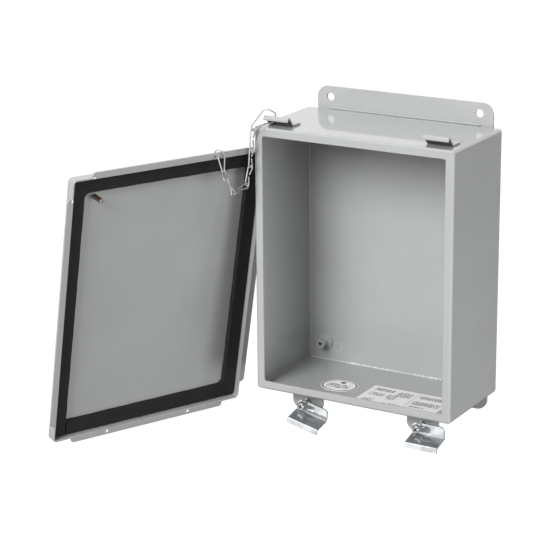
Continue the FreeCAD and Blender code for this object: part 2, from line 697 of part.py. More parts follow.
def clip_radii(points):
    """The bend radius at each inner point: as large as its two runs allow, up to the eye's."""
    radii = []
    for before, corner, after in zip(points, points[1:], points[2:]):
        turn = (corner - before).getAngle(after - corner)
        shorter = min((corner - before).Length, (after - corner).Length)
        radii.append(min(CLIP_EYE_HALF, 0.45 * shorter / math.tan(turn / 2)))
    return radii


def build_upper_clip():
    """A wire clip from the first link up under the left hook's lip, through its web and over it."""
    side = chain_plane_normal()
    half = CLIP_EYE_HALF
    tail_point, heel, ridge, tip = hook_line()
    hole = chain_hole_centre()
    web = (ridge - heel).normalize()
    through = AXIS_X.cross(web)
    seat = hole - web * (CHAIN_HOLE_DIAMETER / 2 - CLIP_WIRE / 2 - CLIP_SEAT_GAP)
    left_end = -HOOK_X - HOOK_WIDTH / 2
    crown_z = ridge.z + CLIP_ARCH_CROWN
    under = Vector(left_end + CLIP_WIRE * 2, tip.y, (tip.z - HALF_HEIGHT) / 2 + HALF_HEIGHT)
    points = [CHAIN_TOP + side * CLIP_EYE_CURL + AXIS_Z * CLIP_EYE_CURL_HEIGHT,
              CHAIN_TOP + side * half,
              CHAIN_TOP - side * half,
              CHAIN_TOP - side * half + AXIS_Z * CLIP_EYE_HEIGHT,
              Vector(left_end - CLIP_ARCH_OUT, ridge.y - CLIP_ARCH_FORWARD, ridge.z + CLIP_ARCH_RISE),
              Vector(left_end, ridge.y, crown_z),
              Vector(left_end + CLIP_ARCH_SPAN, ridge.y + CLIP_ARCH_SKEW, crown_z),
              Vector(hole.x, hole.y + CLIP_ARCH_BACK, ridge.z),
              seat - through * CLIP_STAND_OFF,
              seat + through * CLIP_STAND_OFF,
              under,
              Vector(left_end - CLIP_TAIL_OUT, FRONT_Y - CLIP_TAIL_FORWARD, HALF_HEIGHT),
              CHAIN_TOP + side * CLIP_TAIL_END + AXIS_Z * CLIP_WIRE]
    return wire_form(points, CLIP_WIRE, clip_radii(points))


def label_floor_z():
    """Height of the inner floor that the labels lie on."""
    return -HALF_HEIGHT + BODY_SHEET


def build_oval_label():
    """A blank oval label stuck to the inner floor."""
    ellipse = Part.Ellipse(Vector(0, 0, 0), OVAL_LABEL_WIDTH / 2, OVAL_LABEL_DEPTH / 2)
    label = Part.Face(Part.Wire(ellipse.toShape())).extrude(Vector(0, 0, LABEL_THICKNESS))
    label.translate(Vector(OVAL_LABEL_X, FRONT_Y + OVAL_LABEL_SETBACK, label_floor_z()))
    return label


def build_plate_label():
    """A blank rectangular label stuck to the inner floor."""
    front = FRONT_Y + PLATE_LABEL_SETBACK
    back = front + PLATE_LABEL_DEPTH
    low = label_floor_z()
    return block(PLATE_LABEL_LEFT, PLATE_LABEL_RIGHT, front, back, low, low + LABEL_THICKNESS)


def weld_bead(start, along, length, corner_y, corner_z):
    """A three-cornered fillet weld laid in the corner of two plates."""
    corners = [start, start + Vector(0, corner_y, 0), start + Vector(0, 0, corner_z)]
    face = Part.Face(Part.makePolygon(corners + corners[:1]))
    return face.extrude(along * length)


def build_foot_weld(side):
    """The weld that joins a mounting foot to the back edge of the body."""
    length = FOOT_WIDTH - 2 * FOOT_WELD_INSET
    start = Vector(-length / 2, BACK_Y, side * HALF_HEIGHT)
    return weld_bead(start, AXIS_X, length, -FOOT_WELD_LEG, side * FOOT_WELD_LEG)


def main():
    os.makedirs("parts", exist_ok=True)
    save("enclosure_body", build_body())
    for side, word in ((1, "upper"), (-1, "lower")):
        save(word + "_mounting_foot", build_foot(side))
        save(word + "_foot_weld", build_foot_weld(side))
    for side_z, height in ((1, "upper"), (-1, "lower")):
        for side_x, hand in ((LEFT, "left"), (RIGHT, "right")):
            save("collar_stud_" + height + "_" + hand, build_collar_stud(side_x, side_z))
    for side, word in ((LEFT, "left"), (RIGHT, "right")):
        save("hook_" + word, build_hook(side))
        save("clamp_bracket_" + word, build_bracket(side))
        save("clamp_nut_" + word, build_nut(side))
        save("clamp_" + word, build_clamp(side))
        save("lock_washer_" + word, build_lock_washer(side))
        save("clamp_screw_" + word, build_screw(side))
    save("oval_label", build_oval_label())
    save("plate_label", build_plate_label())
    save("cover_panel", stand_cover(build_cover()))
    save("cover_gasket", stand_cover(build_gasket()))
    save("bonding_stud", stand_cover(build_bond_stud()))
    save("chain_clip_upper", build_upper_clip())
    links, centre, run, upright = build_chain()
    for number, link in enumerate(links, 1):
        save("chain_link_" + str(number), link)
    save("chain_clip_lower", build_lower_clip(centre, run, upright))


if __name__ == "__main__":
    main()
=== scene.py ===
import json
import math

import bmesh
import bpy
from bpy.props import FloatProperty, FloatVectorProperty, IntProperty, PointerProperty
from mathutils import Euler, Matrix, Vector

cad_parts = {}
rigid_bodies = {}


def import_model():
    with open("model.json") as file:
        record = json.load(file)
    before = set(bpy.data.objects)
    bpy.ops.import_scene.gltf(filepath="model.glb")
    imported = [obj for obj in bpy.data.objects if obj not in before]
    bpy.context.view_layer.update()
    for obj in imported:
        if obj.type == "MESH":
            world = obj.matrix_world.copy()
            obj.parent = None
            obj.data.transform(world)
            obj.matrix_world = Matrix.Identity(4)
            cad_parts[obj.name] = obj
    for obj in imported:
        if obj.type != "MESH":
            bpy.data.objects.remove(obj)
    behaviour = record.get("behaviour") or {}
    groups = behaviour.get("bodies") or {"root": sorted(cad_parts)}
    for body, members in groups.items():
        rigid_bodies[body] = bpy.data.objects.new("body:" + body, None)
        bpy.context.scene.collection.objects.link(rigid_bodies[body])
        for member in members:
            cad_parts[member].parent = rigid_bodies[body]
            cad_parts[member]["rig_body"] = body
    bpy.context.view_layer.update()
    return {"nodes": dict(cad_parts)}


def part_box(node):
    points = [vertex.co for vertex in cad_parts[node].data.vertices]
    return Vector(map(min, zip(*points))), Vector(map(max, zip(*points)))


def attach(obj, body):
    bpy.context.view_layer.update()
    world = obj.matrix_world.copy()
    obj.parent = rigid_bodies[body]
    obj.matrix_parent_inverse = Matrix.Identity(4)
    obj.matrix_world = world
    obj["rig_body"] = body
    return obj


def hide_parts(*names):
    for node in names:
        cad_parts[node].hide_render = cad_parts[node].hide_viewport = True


bl_info = {
    "name": "Lift-off Cover Wall Enclosure",
    "version": (1, 0, 0),
    "blender": (4, 5, 0),
    "location": "View3D > Sidebar > Enclosure",
    "description": "Dresses a steel wall enclosure in paint, zinc, foam, wire and print",
    "category": "Object",
}

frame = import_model()
MM = 0.001

# Sizes of the enclosure, in metres, as its solids have them
HALF_WIDTH = 101.6 * MM
HALF_HEIGHT = 127.0 * MM
BODY_SHEET = 1.9 * MM
MOUTH_BEND = 2.4 * MM
BACK_Y = -1.9 * MM
FRONT_Y = -103.5 * MM
INNER_BACK_Y = BACK_Y - BODY_SHEET
INNER_X = HALF_WIDTH - BODY_SHEET
INNER_Z = HALF_HEIGHT - BODY_SHEET

# The cover where it stands beside the body
COVER_SHEET = 1.6 * MM
COVER_HALF_WIDTH = HALF_WIDTH + 2.3 * MM
COVER_HALF_HEIGHT = HALF_HEIGHT + 2.3 * MM
COVER_RIM_DEPTH = 9.0 * MM
COVER_LIP = 4.8 * MM
COVER_HOLE_RISE = 1.7 * MM
COVER_TURN = (67.5, 10.2, 1.0)
COVER_CORNER = Vector((-HALF_WIDTH - 9.75 * MM, FRONT_Y + 27.1 * MM, HALF_HEIGHT - 26.9 * MM))

PAINTED_NODES = (
    "enclosure_body", "upper_mounting_foot", "lower_mounting_foot", "hook_left", "hook_right",
    "clamp_bracket_left", "clamp_bracket_right", "cover_panel",
    "collar_stud_upper_left", "collar_stud_upper_right",
    "collar_stud_lower_left", "collar_stud_lower_right",
)
ZINC_NODES = (
    "clamp_left", "clamp_right", "lock_washer_left", "lock_washer_right",
    "clamp_nut_left", "clamp_nut_right",
)

# Fields of strokes on the rectangular label: left, right, front and back edge as shares of it,
# distance between rows in mm, and how much of a row is inked
PLATE_FIELDS = (
    (0.06, 0.30, 0.74, 0.90, 2.9, 0.84),
    (0.36, 0.54, 0.60, 0.88, 2.1, 0.74),
    (0.06, 0.24, 0.46, 0.62, 2.1, 0.68),
    (0.28, 0.40, 0.36, 0.64, 2.3, 0.66),
    (0.06, 0.20, 0.10, 0.26, 2.1, 0.66),
    (0.34, 0.54, 0.10, 0.18, 2.1, 0.64),
    (0.63, 0.94, 0.70, 0.88, 2.2, 0.78),
    (0.63, 0.96, 0.36, 0.56, 2.3, 0.8),
    (0.63, 0.82, 0.20, 0.29, 2.2, 0.72),
    (0.63, 0.76, 0.06, 0.13, 2.1, 0.6),
)
PLATE_MARK = 0.6 * MM
PLATE_RULE = 0.35 * MM
PLATE_DIVIDER = 0.585
OVAL_ROW = 3.4 * MM
OVAL_MARK = 0.7 * MM
OVAL_DISC = 2.6 * MM
RINGS_PER_THREAD_TURN = 8

# How a copy of a solid is cleaned: points merged, and in degrees, faces joined, shading and edges split
MERGE_DISTANCE = 0.002 * MM
FLAT_ANGLE = 0.4
SHARP_ANGLE = 35
SOFT_EDGE_ANGLE = 40


class EnclosurePaint(bpy.types.PropertyGroup):
    colour: FloatVectorProperty(name="Paint colour", description="Grey powder paint on the steel",
                                subtype="COLOR", min=0, max=1, default=(0.42, 0.432, 0.425))
    roughness: FloatProperty(name="Paint roughness", description="Roughness of the paint under its skin",
                             min=0, max=1, default=0.38)
    peel_size: FloatProperty(name="Orange peel size", description="Width of one ripple of the paint",
                             unit="LENGTH", min=0, default=1.6 * MM)
    peel_height: FloatProperty(name="Orange peel height", description="Depth of the ripples in the paint",
                               unit="LENGTH", min=0, default=0.012 * MM)
    edge_softness: FloatProperty(name="Edge softness", description="Radius of a painted sheet edge",
                                 unit="LENGTH", min=0, default=0.3 * MM)


class EnclosureMetals(bpy.types.PropertyGroup):
    zinc: FloatVectorProperty(name="Zinc colour", description="Bright zinc plate on clamps and screws",
                              subtype="COLOR", min=0, max=1, default=(0.79, 0.82, 0.84))
    wire: FloatVectorProperty(name="Wire colour", description="Bright steel wire of the chain",
                              subtype="COLOR", min=0, max=1, default=(0.90, 0.90, 0.89))
    copper: FloatVectorProperty(name="Copper colour", description="Copper flash on the bonding stud",
                                subtype="COLOR", min=0, max=1, default=(0.185, 0.11, 0.078))
    burr: FloatProperty(name="Edge break", description="Width of the broken edge on plated parts",
                        unit="LENGTH", min=0, default=0.15 * MM)


class EnclosureFoam(bpy.types.PropertyGroup):
    colour: FloatVectorProperty(name="Foam colour", description="Black closed-cell foam of the gasket",
                                subtype="COLOR", min=0, max=1, default=(0.017, 0.017, 0.018))
    width: FloatProperty(name="Strip width", description="Width of the foam strip",
                         unit="LENGTH", default=14.9 * MM)
    thickness: FloatProperty(name="Strip thickness", description="Free thickness of the foam strip",
                             unit="LENGTH", default=4.5 * MM)
    corner: FloatProperty(name="Inner corner", description="Radius of the strip's inner corners",
                          unit="LENGTH", default=5.5 * MM)
    seam_gap: FloatProperty(name="Seam gap", description="Gap where the strip's ends meet",
                            unit="LENGTH", default=0.3 * MM)


class EnclosureFasteners(bpy.types.PropertyGroup):
    thread_pitch: FloatProperty(name="Thread pitch", description="Pitch of the screws and the stud",
                                unit="LENGTH", default=0.95 * MM)
    thread_depth: FloatProperty(name="Thread depth", description="Depth of the thread", unit="LENGTH",
                                default=0.42 * MM)
    sides: IntProperty(name="Sides round", description="Facets round a screw", min=12, default=40)


class EnclosureWire(bpy.types.PropertyGroup):
    diameter: FloatProperty(name="Wire diameter", description="Wire of the chain and its clips",
                            unit="LENGTH", default=1.4 * MM)
    loop_radius: FloatProperty(name="Loop radius", description="Radius of a link's loops", unit="LENGTH",
                               default=2.9 * MM)
    loop_spread: FloatProperty(name="Loop spread", description="Between the centres of a link's two loops",
                               unit="LENGTH", default=12.9 * MM)
    sides: IntProperty(name="Sides round", description="Facets round the wire", min=6, default=14)


class EnclosureStudio(bpy.types.PropertyGroup):
    floor_height: FloatProperty(name="Floor height", description="Height of the floor below the origin",
                                unit="LENGTH", default=-0.50)
    floor_tone: FloatProperty(name="Floor tone", description="Share of light that the floor throws back",
                              min=0, max=1, default=0.13)
    floor_glow: FloatProperty(name="Floor glow", default=1.0,
                              description="Light added to the floor as the camera sees it")
    floor_gloss: FloatProperty(name="Floor in gloss", default=1.0,
                               description="Light of the front floor as metal mirrors it")
    sky: FloatProperty(name="Sky strength", default=0.18,
                       description="Light from the room behind the camera")
    backdrop: FloatProperty(name="Backdrop strength", default=0.48,
                            description="Light from the white cloth behind the piece")
    cloth_gloss: FloatProperty(name="Backdrop in gloss", default=1.08,
                               description="What gloss mirrors of the white cloth")
    dark_side: FloatProperty(name="Dark side", default=0.16,
                             description="What gloss mirrors of the room behind the camera")
    softbox: FloatProperty(name="Softbox in gloss", default=1.4,
                           description="What gloss mirrors of the large lamps")
    key: FloatProperty(name="Key power", description="Power of the large lamp in front",
                       unit="POWER", default=82.0)
    top: FloatProperty(name="Top power", description="Power of the lamp straight above",
                       unit="POWER", default=5.0)
    side: FloatProperty(name="Side power", description="Power of the lamp on the right",
                        unit="POWER", default=6.7)
    azimuth: FloatProperty(name="Camera azimuth", default=30.57,
                           description="Turn to the right of straight ahead, in degrees")
    elevation: FloatProperty(name="Camera elevation", default=17.03,
                             description="Rise above level, in degrees")
    roll: FloatProperty(name="Camera roll", default=-0.48,
                        description="Tilt about the line of sight, in degrees")
    distance: FloatProperty(name="Camera distance", description="From the aim to the lens", unit="LENGTH",
                            default=1.922)
    lens: FloatProperty(name="Lens", description="Focal length on a 36 mm wide sensor, in millimetres",
                        default=134.2)
    aim: FloatVectorProperty(name="Camera aim", description="The point in the middle of the picture",
                             unit="LENGTH", default=(-0.0750, -0.1073, -0.0131))


SETTINGS = {
    "enclosure_paint": EnclosurePaint,
    "enclosure_metals": EnclosureMetals,
    "enclosure_foam": EnclosureFoam,
    "enclosure_fasteners": EnclosureFasteners,
    "enclosure_wire": EnclosureWire,
    "enclosure_studio": EnclosureStudio,
}


def add_node(tree, kind, inputs=None, **settings):
    """A node with its settings and inputs, each input a value or another node's socket."""
    node = tree.nodes.new(kind)
    for key, value in settings.items():
        setattr(node, key, value)
    for key, value in (inputs or {}).items():
        if isinstance(value, bpy.types.NodeSocket):
            tree.links.new(value, node.inputs[key])
        else:
            node.inputs[key].default_value = value
    return node


def calculate(tree, operation, first, second=0.0):
    """One step of arithmetic on numbers or sockets."""
    return add_node(tree, "ShaderNodeMath", {0: first, 1: second}, operation=operation).outputs[0]


def new_material(name, colour, roughness, metallic=0.0):
    """A material with its shader and the object coordinates that its patterns read."""
    material = bpy.data.materials.new(name)
    material.use_nodes = True
    material.diffuse_color = (*colour, 1.0)
    tree = material.node_tree
    shader = tree.nodes["Principled BSDF"]
    shader.inputs["Base Color"].default_value = (*colour, 1.0)
    shader.inputs["Roughness"].default_value = roughness
    shader.inputs["Metallic"].default_value = metallic
    place = add_node(tree, "ShaderNodeTexCoord").outputs["Object"]
    return material, tree, shader, place


def noise(tree, place, size, detail=2.0, roughness=0.5):
    """A noise whose blotches are about size metres across."""
    values = {"Vector": place, "Scale": 1 / size, "Detail": detail, "Roughness": roughness}
    return add_node(tree, "ShaderNodeTexNoise", values).outputs["Fac"]


def spread(tree, value, low, high, from_low=0.3, from_high=0.7):
    """A value spread evenly over a range."""
    values = {"Value": value, "From Min": from_low, "From Max": from_high, "To Min": low, "To Max": high}
    return add_node(tree, "ShaderNodeMapRange", values).outputs["Result"]


def blend_colours(tree, share, first, second):
    """A mix of two colours, each a tuple or a socket."""
    mix = add_node(tree, "ShaderNodeMix", data_type="RGBA")
    colours = [socket for socket in mix.inputs if socket.type == "RGBA"]
    for socket, colour in zip(colours, (first, second)):
        if isinstance(colour, bpy.types.NodeSocket):
            tree.links.new(colour, socket)
        else:
            socket.default_value = (*colour, 1.0)
    tree.links.new(share, mix.inputs["Factor"])
    return [socket for socket in mix.outputs if socket.type == "RGBA"][0]


def feed(tree, shader, colour, roughness):
    """Lead patterns of colour and roughness into the shader."""
    tree.links.new(colour, shader.inputs["Base Color"])
    tree.links.new(roughness, shader.inputs["Roughness"])


def raise_surface(tree, shader, height, distance):
    """Bump the shader by a height pattern of that depth in metres."""
    bump = add_node(tree, "ShaderNodeBump", {"Height": height, "Distance": distance, "Strength": 1.0})
    tree.links.new(bump.outputs["Normal"], shader.inputs["Normal"])


def scaled(colour, factor):
    """A lighter or darker tone of a colour."""
    return tuple(min(part * factor, 1.0) for part in colour)


def powder_paint(settings, name="powder_paint", lightness=1.0, roughness=None, skin=0.045):
    """Semi-gloss powder paint: fine orange peel, faint clouding and a clear skin."""
    colour = scaled(settings.colour, lightness)
    matt = settings.roughness if roughness is None else roughness
    material, tree, shader, place = new_material(name, colour, matt)
    cloud = noise(tree, place, 45 * MM, 3)
    speck = noise(tree, place, 0.5 * MM, 1)
    tone = calculate(tree, "ADD", spread(tree, cloud, 0, 0.7), spread(tree, speck, 0, 0.3))
    feed(tree, shader, blend_colours(tree, tone, scaled(colour, 0.965), scaled(colour, 1.035)),
         spread(tree, cloud, matt - 0.03, matt + 0.05))
    peel = noise(tree, place, settings.peel_size, 1.5, 0.4)
    raise_surface(tree, shader, peel, settings.peel_height)
    for socket, value in (("Coat Weight", 1.0), ("Coat Roughness", skin), ("Coat IOR", 1.55)):
        shader.inputs[socket].default_value = value
    return material


def bright_zinc(settings, name="bright_zinc", lightness=1.0):
    """Bright zinc plate: nearly a mirror, with soft waves, a faint haze and darker blotches, partly uneven
    plate and partly painted reflection.
    """
    colour = scaled(settings.zinc, lightness)
    material, tree, shader, place = new_material(name, colour, 0.16, 0.86)
    haze_and_painted_reflection = noise(tree, place, 10 * MM, 1)
    # Darker blotches in the colour: partly uneven plate, partly a painted reflection of dark surroundings
    tint = blend_colours(tree, spread(tree, haze_and_painted_reflection, 0, 1, 0.42, 0.6), colour, scaled(colour, 0.75))
    feed(tree, shader, tint, spread(tree, haze_and_painted_reflection, 0.07, 0.15))
    raise_surface(tree, shader, noise(tree, place, 9 * MM, 1), 0.06 * MM)
    return material


def recess_dirt():
    """Painted shade: a dull dark colour for the bottom of a recess, where shade falls."""
    colour = (0.03, 0.031, 0.033)
    material, tree, shader, place = new_material("recess_dirt", colour, 0.6)
    shade_mottle = noise(tree, place, 0.4 * MM)
    tint = blend_colours(tree, spread(tree, shade_mottle, 0, 1), scaled(colour, 0.6), scaled(colour, 1.6))
    feed(tree, shader, tint, spread(tree, shade_mottle, 0.5, 0.7))
    return material


def bright_wire(settings):
    """Drawn steel wire with fine marks from the bending tools."""
    material, tree, shader, place = new_material("bright_wire", settings.wire, 0.2, 1.0)
    marks = noise(tree, place, 1.2 * MM, 3)
    tint = blend_colours(tree, spread(tree, marks, 0, 1), settings.wire, scaled(settings.wire, 0.72))
    feed(tree, shader, tint, spread(tree, marks, 0.12, 0.32))
    raise_surface(tree, shader, marks, 0.004 * MM)
    return material


def copper_flash(settings):
    """Copper flash on the stud, darker and lighter in random stains."""
    material, tree, shader, place = new_material("copper_flash", settings.copper, 0.32, 1.0)
    stain = noise(tree, place, 1.5 * MM, 3)
    dark = scaled(settings.copper, 0.55)
    fresh = scaled(settings.copper, 1.25)
    feed(tree, shader, blend_colours(tree, spread(tree, stain, 0, 1), dark, fresh),
         spread(tree, stain, 0.25, 0.45))
    raise_surface(tree, shader, stain, 0.02 * MM)
    return material


def black_foam(settings):
    """Black closed-cell foam with an open skin and a few pale specks."""
    material, tree, shader, place = new_material("black_foam", settings.colour, 0.72)
    cells = add_node(tree, "ShaderNodeTexVoronoi", {"Vector": place, "Scale": 1 / (0.7 * MM)})
    cloud = noise(tree, place, 20 * MM, 3)
    dark = scaled(settings.colour, 0.8)
    pale = scaled(settings.colour, 1.35)
    dust = spread(tree, noise(tree, place, 1.1 * MM, 2), 0, 0.5, 0.76, 0.8)
    tone = blend_colours(tree, spread(tree, cloud, 0, 1), dark, pale)
    feed(tree, shader, blend_colours(tree, dust, tone, (0.12, 0.12, 0.12)),
         spread(tree, cloud, 0.62, 0.8))
    raise_surface(tree, shader, cells.outputs["Distance"], 0.06 * MM)
    shader.inputs["Specular IOR Level"].default_value = 0.35
    return material


def within(tree, value, low, high):
    """1 where a value lies between two limits, else 0."""
    above = calculate(tree, "GREATER_THAN", value, low)
    return calculate(tree, "MULTIPLY", above, calculate(tree, "LESS_THAN", value, high))


def fine_print(tree, across, along, row_pitch, mark_pitch, fill):
    """Rows of short strokes of no lettering: 1 on a stroke, else 0."""
    row = calculate(tree, "FLOOR", calculate(tree, "DIVIDE", along, row_pitch))
    in_row = calculate(tree, "FRACT", calculate(tree, "DIVIDE", along, row_pitch))
    cell = calculate(tree, "FLOOR", calculate(tree, "DIVIDE", across, mark_pitch))
    spot = add_node(tree, "ShaderNodeCombineXYZ", {"X": cell, "Y": row}).outputs[0]
    chance = add_node(tree, "ShaderNodeTexWhiteNoise", {"Vector": spot}, noise_dimensions="2D")
    inked = calculate(tree, "LESS_THAN", chance.outputs["Value"], fill)
    return calculate(tree, "MULTIPLY", inked, within(tree, in_row, 0.16, 0.76))


def label_axes(tree, place, corner_x, corner_y):
    """Distances across and along a label from its front left corner, in metres."""
    axes = add_node(tree, "ShaderNodeSeparateXYZ", {0: place})
    across = calculate(tree, "SUBTRACT", axes.outputs["X"], corner_x)
    along = calculate(tree, "SUBTRACT", axes.outputs["Y"], corner_y)
    return across, along


def sum_of_squares(tree, first, second):
    """The sum of two squares."""
    return calculate(tree, "ADD", calculate(tree, "MULTIPLY", first, first),
                     calculate(tree, "MULTIPLY", second, second))


def union(tree, masks):
    """1 where any of the masks is 1."""
    total = masks[0]
    for mask in masks[1:]:
        total = calculate(tree, "MAXIMUM", total, mask)
    return total


def ink_film(tree, shader, place, inked, dull, bright, ink):
    """White film with ink where the mask is 1."""
    film = blend_colours(tree, noise(tree, place, 12 * MM), dull, bright)
    feed(tree, shader, blend_colours(tree, inked, film, ink),
         spread(tree, noise(tree, place, 5 * MM), 0.3, 0.42))


def plate_print(node, ink):
    """White film with a divider and rows of plain strokes."""
    material, tree, shader, place = new_material("label_film_plate", (0.78, 0.78, 0.77), 0.35)
    low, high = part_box(node)
    across, along = label_axes(tree, place, low.x, low.y)
    width = high.x - low.x
    depth = high.y - low.y
    masks = []
    for left, right, front, back, row, fill in PLATE_FIELDS:
        field = calculate(tree, "MULTIPLY", within(tree, across, left * width, right * width),
                          within(tree, along, front * depth, back * depth))
        strokes = fine_print(tree, across, along, row * MM, PLATE_MARK, fill)
        masks.append(calculate(tree, "MULTIPLY", field, strokes))
    divider_x = width * PLATE_DIVIDER
    masks.append(within(tree, across, divider_x, divider_x + PLATE_RULE))
    ink_film(tree, shader, place, union(tree, masks), (0.84, 0.84, 0.83), (0.90, 0.90, 0.89), ink)
    return material


def oval_print(node, ink):
    """White film with a dark oval ring, a small disc and a few rows of plain strokes."""
    material, tree, shader, place = new_material("label_film_oval", (0.82, 0.82, 0.82), 0.35)
    low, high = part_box(node)
    centre = (low + high) / 2
    half_x = (high.x - low.x) / 2
    half_y = (high.y - low.y) / 2
    across, along = label_axes(tree, place, centre.x, centre.y)
    reach_x = calculate(tree, "DIVIDE", across, half_x)
    reach_y = calculate(tree, "DIVIDE", along, half_y)
    ring = within(tree, calculate(tree, "SQRT", sum_of_squares(tree, reach_x, reach_y)), 0.87, 0.95)
    disc_y = calculate(tree, "SUBTRACT", along, half_y * 0.52)
    disc = calculate(tree, "LESS_THAN", sum_of_squares(tree, across, disc_y), OVAL_DISC ** 2)
    rows = calculate(tree, "MULTIPLY", within(tree, reach_y, -0.5, 0.2), within(tree, reach_x, -0.62, 0.62))
    strokes = fine_print(tree, across, along, OVAL_ROW, OVAL_MARK, 0.62)
    inked = union(tree, [ring, disc, calculate(tree, "MULTIPLY", rows, strokes)])
    ink_film(tree, shader, place, inked, (0.86, 0.86, 0.86), (0.92, 0.92, 0.92), ink)
    return material


def body_of(node):
    """The moving body that carries a CAD node."""
    return frame["nodes"][node]["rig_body"]


def link_object(name, mesh):
    """A new object in the scene."""
    piece = bpy.data.objects.new(name, mesh)
    bpy.context.scene.collection.objects.link(piece)
    return piece


def object_from(edit, name):
    """Turn an edited mesh into an object in the scene."""
    mesh = bpy.data.meshes.new(name)
    edit.to_mesh(mesh)
    edit.free()
    return link_object(name, mesh)


def settle(piece, node, replaced=True):
    """Let a finished piece ride with a node's body, and stand for that node if it replaces it."""
    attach(piece, body_of(node))
    if replaced:
        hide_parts(node)


def smooth_copy(node, prefix, material, edge_width):
    """A copy of a CAD node with merged points, clean faces, softened cut edges and smooth bends."""
    mesh = frame["nodes"][node].data.copy()
    mesh.name = prefix + node
    mesh.materials.clear()
    mesh.materials.append(material)
    edit = bmesh.new()
    edit.from_mesh(mesh)
    bmesh.ops.remove_doubles(edit, verts=edit.verts, dist=MERGE_DISTANCE)
    bmesh.ops.dissolve_limit(edit, angle_limit=math.radians(FLAT_ANGLE), verts=edit.verts,
                             edges=edit.edges)
    for face in edit.faces:
        face.material_index = 0
        face.smooth = True
    edit.to_mesh(mesh)
    edit.free()
    mesh.set_sharp_from_angle(angle=math.radians(SHARP_ANGLE))
    piece = link_object(prefix + node, mesh)
    if edge_width > 0:
        bevel = piece.modifiers.new("Soft edges", "BEVEL")
        bevel.width = edge_width
        bevel.segments = 2
        bevel.limit_method = "ANGLE"
        bevel.angle_limit = math.radians(SOFT_EDGE_ANGLE)
        bevel.use_clamp_overlap = False
        bevel.harden_normals = False
    weighted = piece.modifiers.new("Flat faces", "WEIGHTED_NORMAL")
    weighted.keep_sharp = True
    weighted.weight = 90
    return piece


def new_maker(name, inputs):
    """An empty Geometry Nodes tree with named inputs, and its input node."""
    tree = bpy.data.node_groups.new(name, "GeometryNodeTree")
    for label, kind in inputs:
        tree.interface.new_socket(label, in_out="INPUT", socket_type="NodeSocket" + kind)
    tree.interface.new_socket("Geometry", in_out="OUTPUT", socket_type="NodeSocketGeometry")
    return tree, tree.nodes.new("NodeGroupInput").outputs


def finish_maker(tree, geometry, material):
    """End a tree as the export needs it: plain geometry with its material."""
    smooth = add_node(tree, "GeometryNodeSetShadeSmooth", {"Geometry": geometry})
    real = add_node(tree, "GeometryNodeRealizeInstances", {"Geometry": smooth.outputs[0]})
    painted = add_node(tree, "GeometryNodeSetMaterial", {"Geometry": real.outputs[0], "Material": material})
    add_node(tree, "NodeGroupOutput", {"Geometry": painted.outputs[0]})
    return tree


def wire_maker():
    """A round wire along straight runs, with a bend of its own radius at each corner."""
    tree, given = new_maker("Bent wire", (("Geometry", "Geometry"), ("Diameter", "Float"), ("Sides", "Int"),
                                          ("Bend steps", "Int"), ("Material", "Material")))
    line = add_node(tree, "GeometryNodeMeshToCurve", {"Mesh": given["Geometry"]})
    bend = add_node(tree, "GeometryNodeInputNamedAttribute", {"Name": "bend"}, data_type="FLOAT")
    corners = {"Curve": line.outputs[0], "Count": given["Bend steps"], "Radius": bend.outputs[0]}
    round_line = add_node(tree, "GeometryNodeFilletCurve", corners, mode="POLY")
    radius = calculate(tree, "MULTIPLY", given["Diameter"], 0.5)
    circle = {"Resolution": given["Sides"], "Radius": radius}
    section = add_node(tree, "GeometryNodeCurvePrimitiveCircle", circle)
    sweep = {"Curve": round_line.outputs[0], "Profile Curve": section.outputs[0], "Fill Caps": True}
    wire = add_node(tree, "GeometryNodeCurveToMesh", sweep)
    return finish_maker(tree, wire.outputs[0], given["Material"])


def thread_maker():
    """A rod along Z whose radius falls and rises along a helix."""
    tree, given = new_maker("Threaded rod", (("Geometry", "Geometry"), ("Diameter", "Float"),
                                             ("Length", "Float"), ("Pitch", "Float"), ("Depth", "Float"),
                                             ("Sides", "Int"), ("Rings", "Int"), ("Material", "Material")))
    radius = calculate(tree, "MULTIPLY", given["Diameter"], 0.5)
    smooth = {"Vertices": given["Sides"], "Side Segments": given["Rings"], "Radius": radius,
              "Depth": given["Length"]}
    rod = add_node(tree, "GeometryNodeMeshCylinder", smooth)
    point = add_node(tree, "GeometryNodeInputPosition").outputs[0]
    axes = add_node(tree, "ShaderNodeSeparateXYZ", {0: point}).outputs
    turn = calculate(tree, "DIVIDE", calculate(tree, "ARCTAN2", axes["Y"], axes["X"]), math.tau)
    phase = calculate(tree, "SUBTRACT", calculate(tree, "DIVIDE", axes["Z"], given["Pitch"]), turn)
    groove = calculate(tree, "MULTIPLY", calculate(tree, "PINGPONG", phase, 0.5), 2.0)
    shrink = calculate(tree, "DIVIDE", calculate(tree, "MULTIPLY", groove, given["Depth"]), radius)
    inward = add_node(tree, "ShaderNodeCombineXYZ",
                      {"X": calculate(tree, "MULTIPLY", axes["X"], shrink),
                       "Y": calculate(tree, "MULTIPLY", axes["Y"], shrink)}).outputs[0]
    offset = add_node(tree, "ShaderNodeVectorMath", {0: (0, 0, 0), 1: inward}, operation="SUBTRACT")
    cut = add_node(tree, "GeometryNodeSetPosition",
                   {"Geometry": rod.outputs["Mesh"], "Offset": offset.outputs[0]})
    return finish_maker(tree, cut.outputs[0], given["Material"])


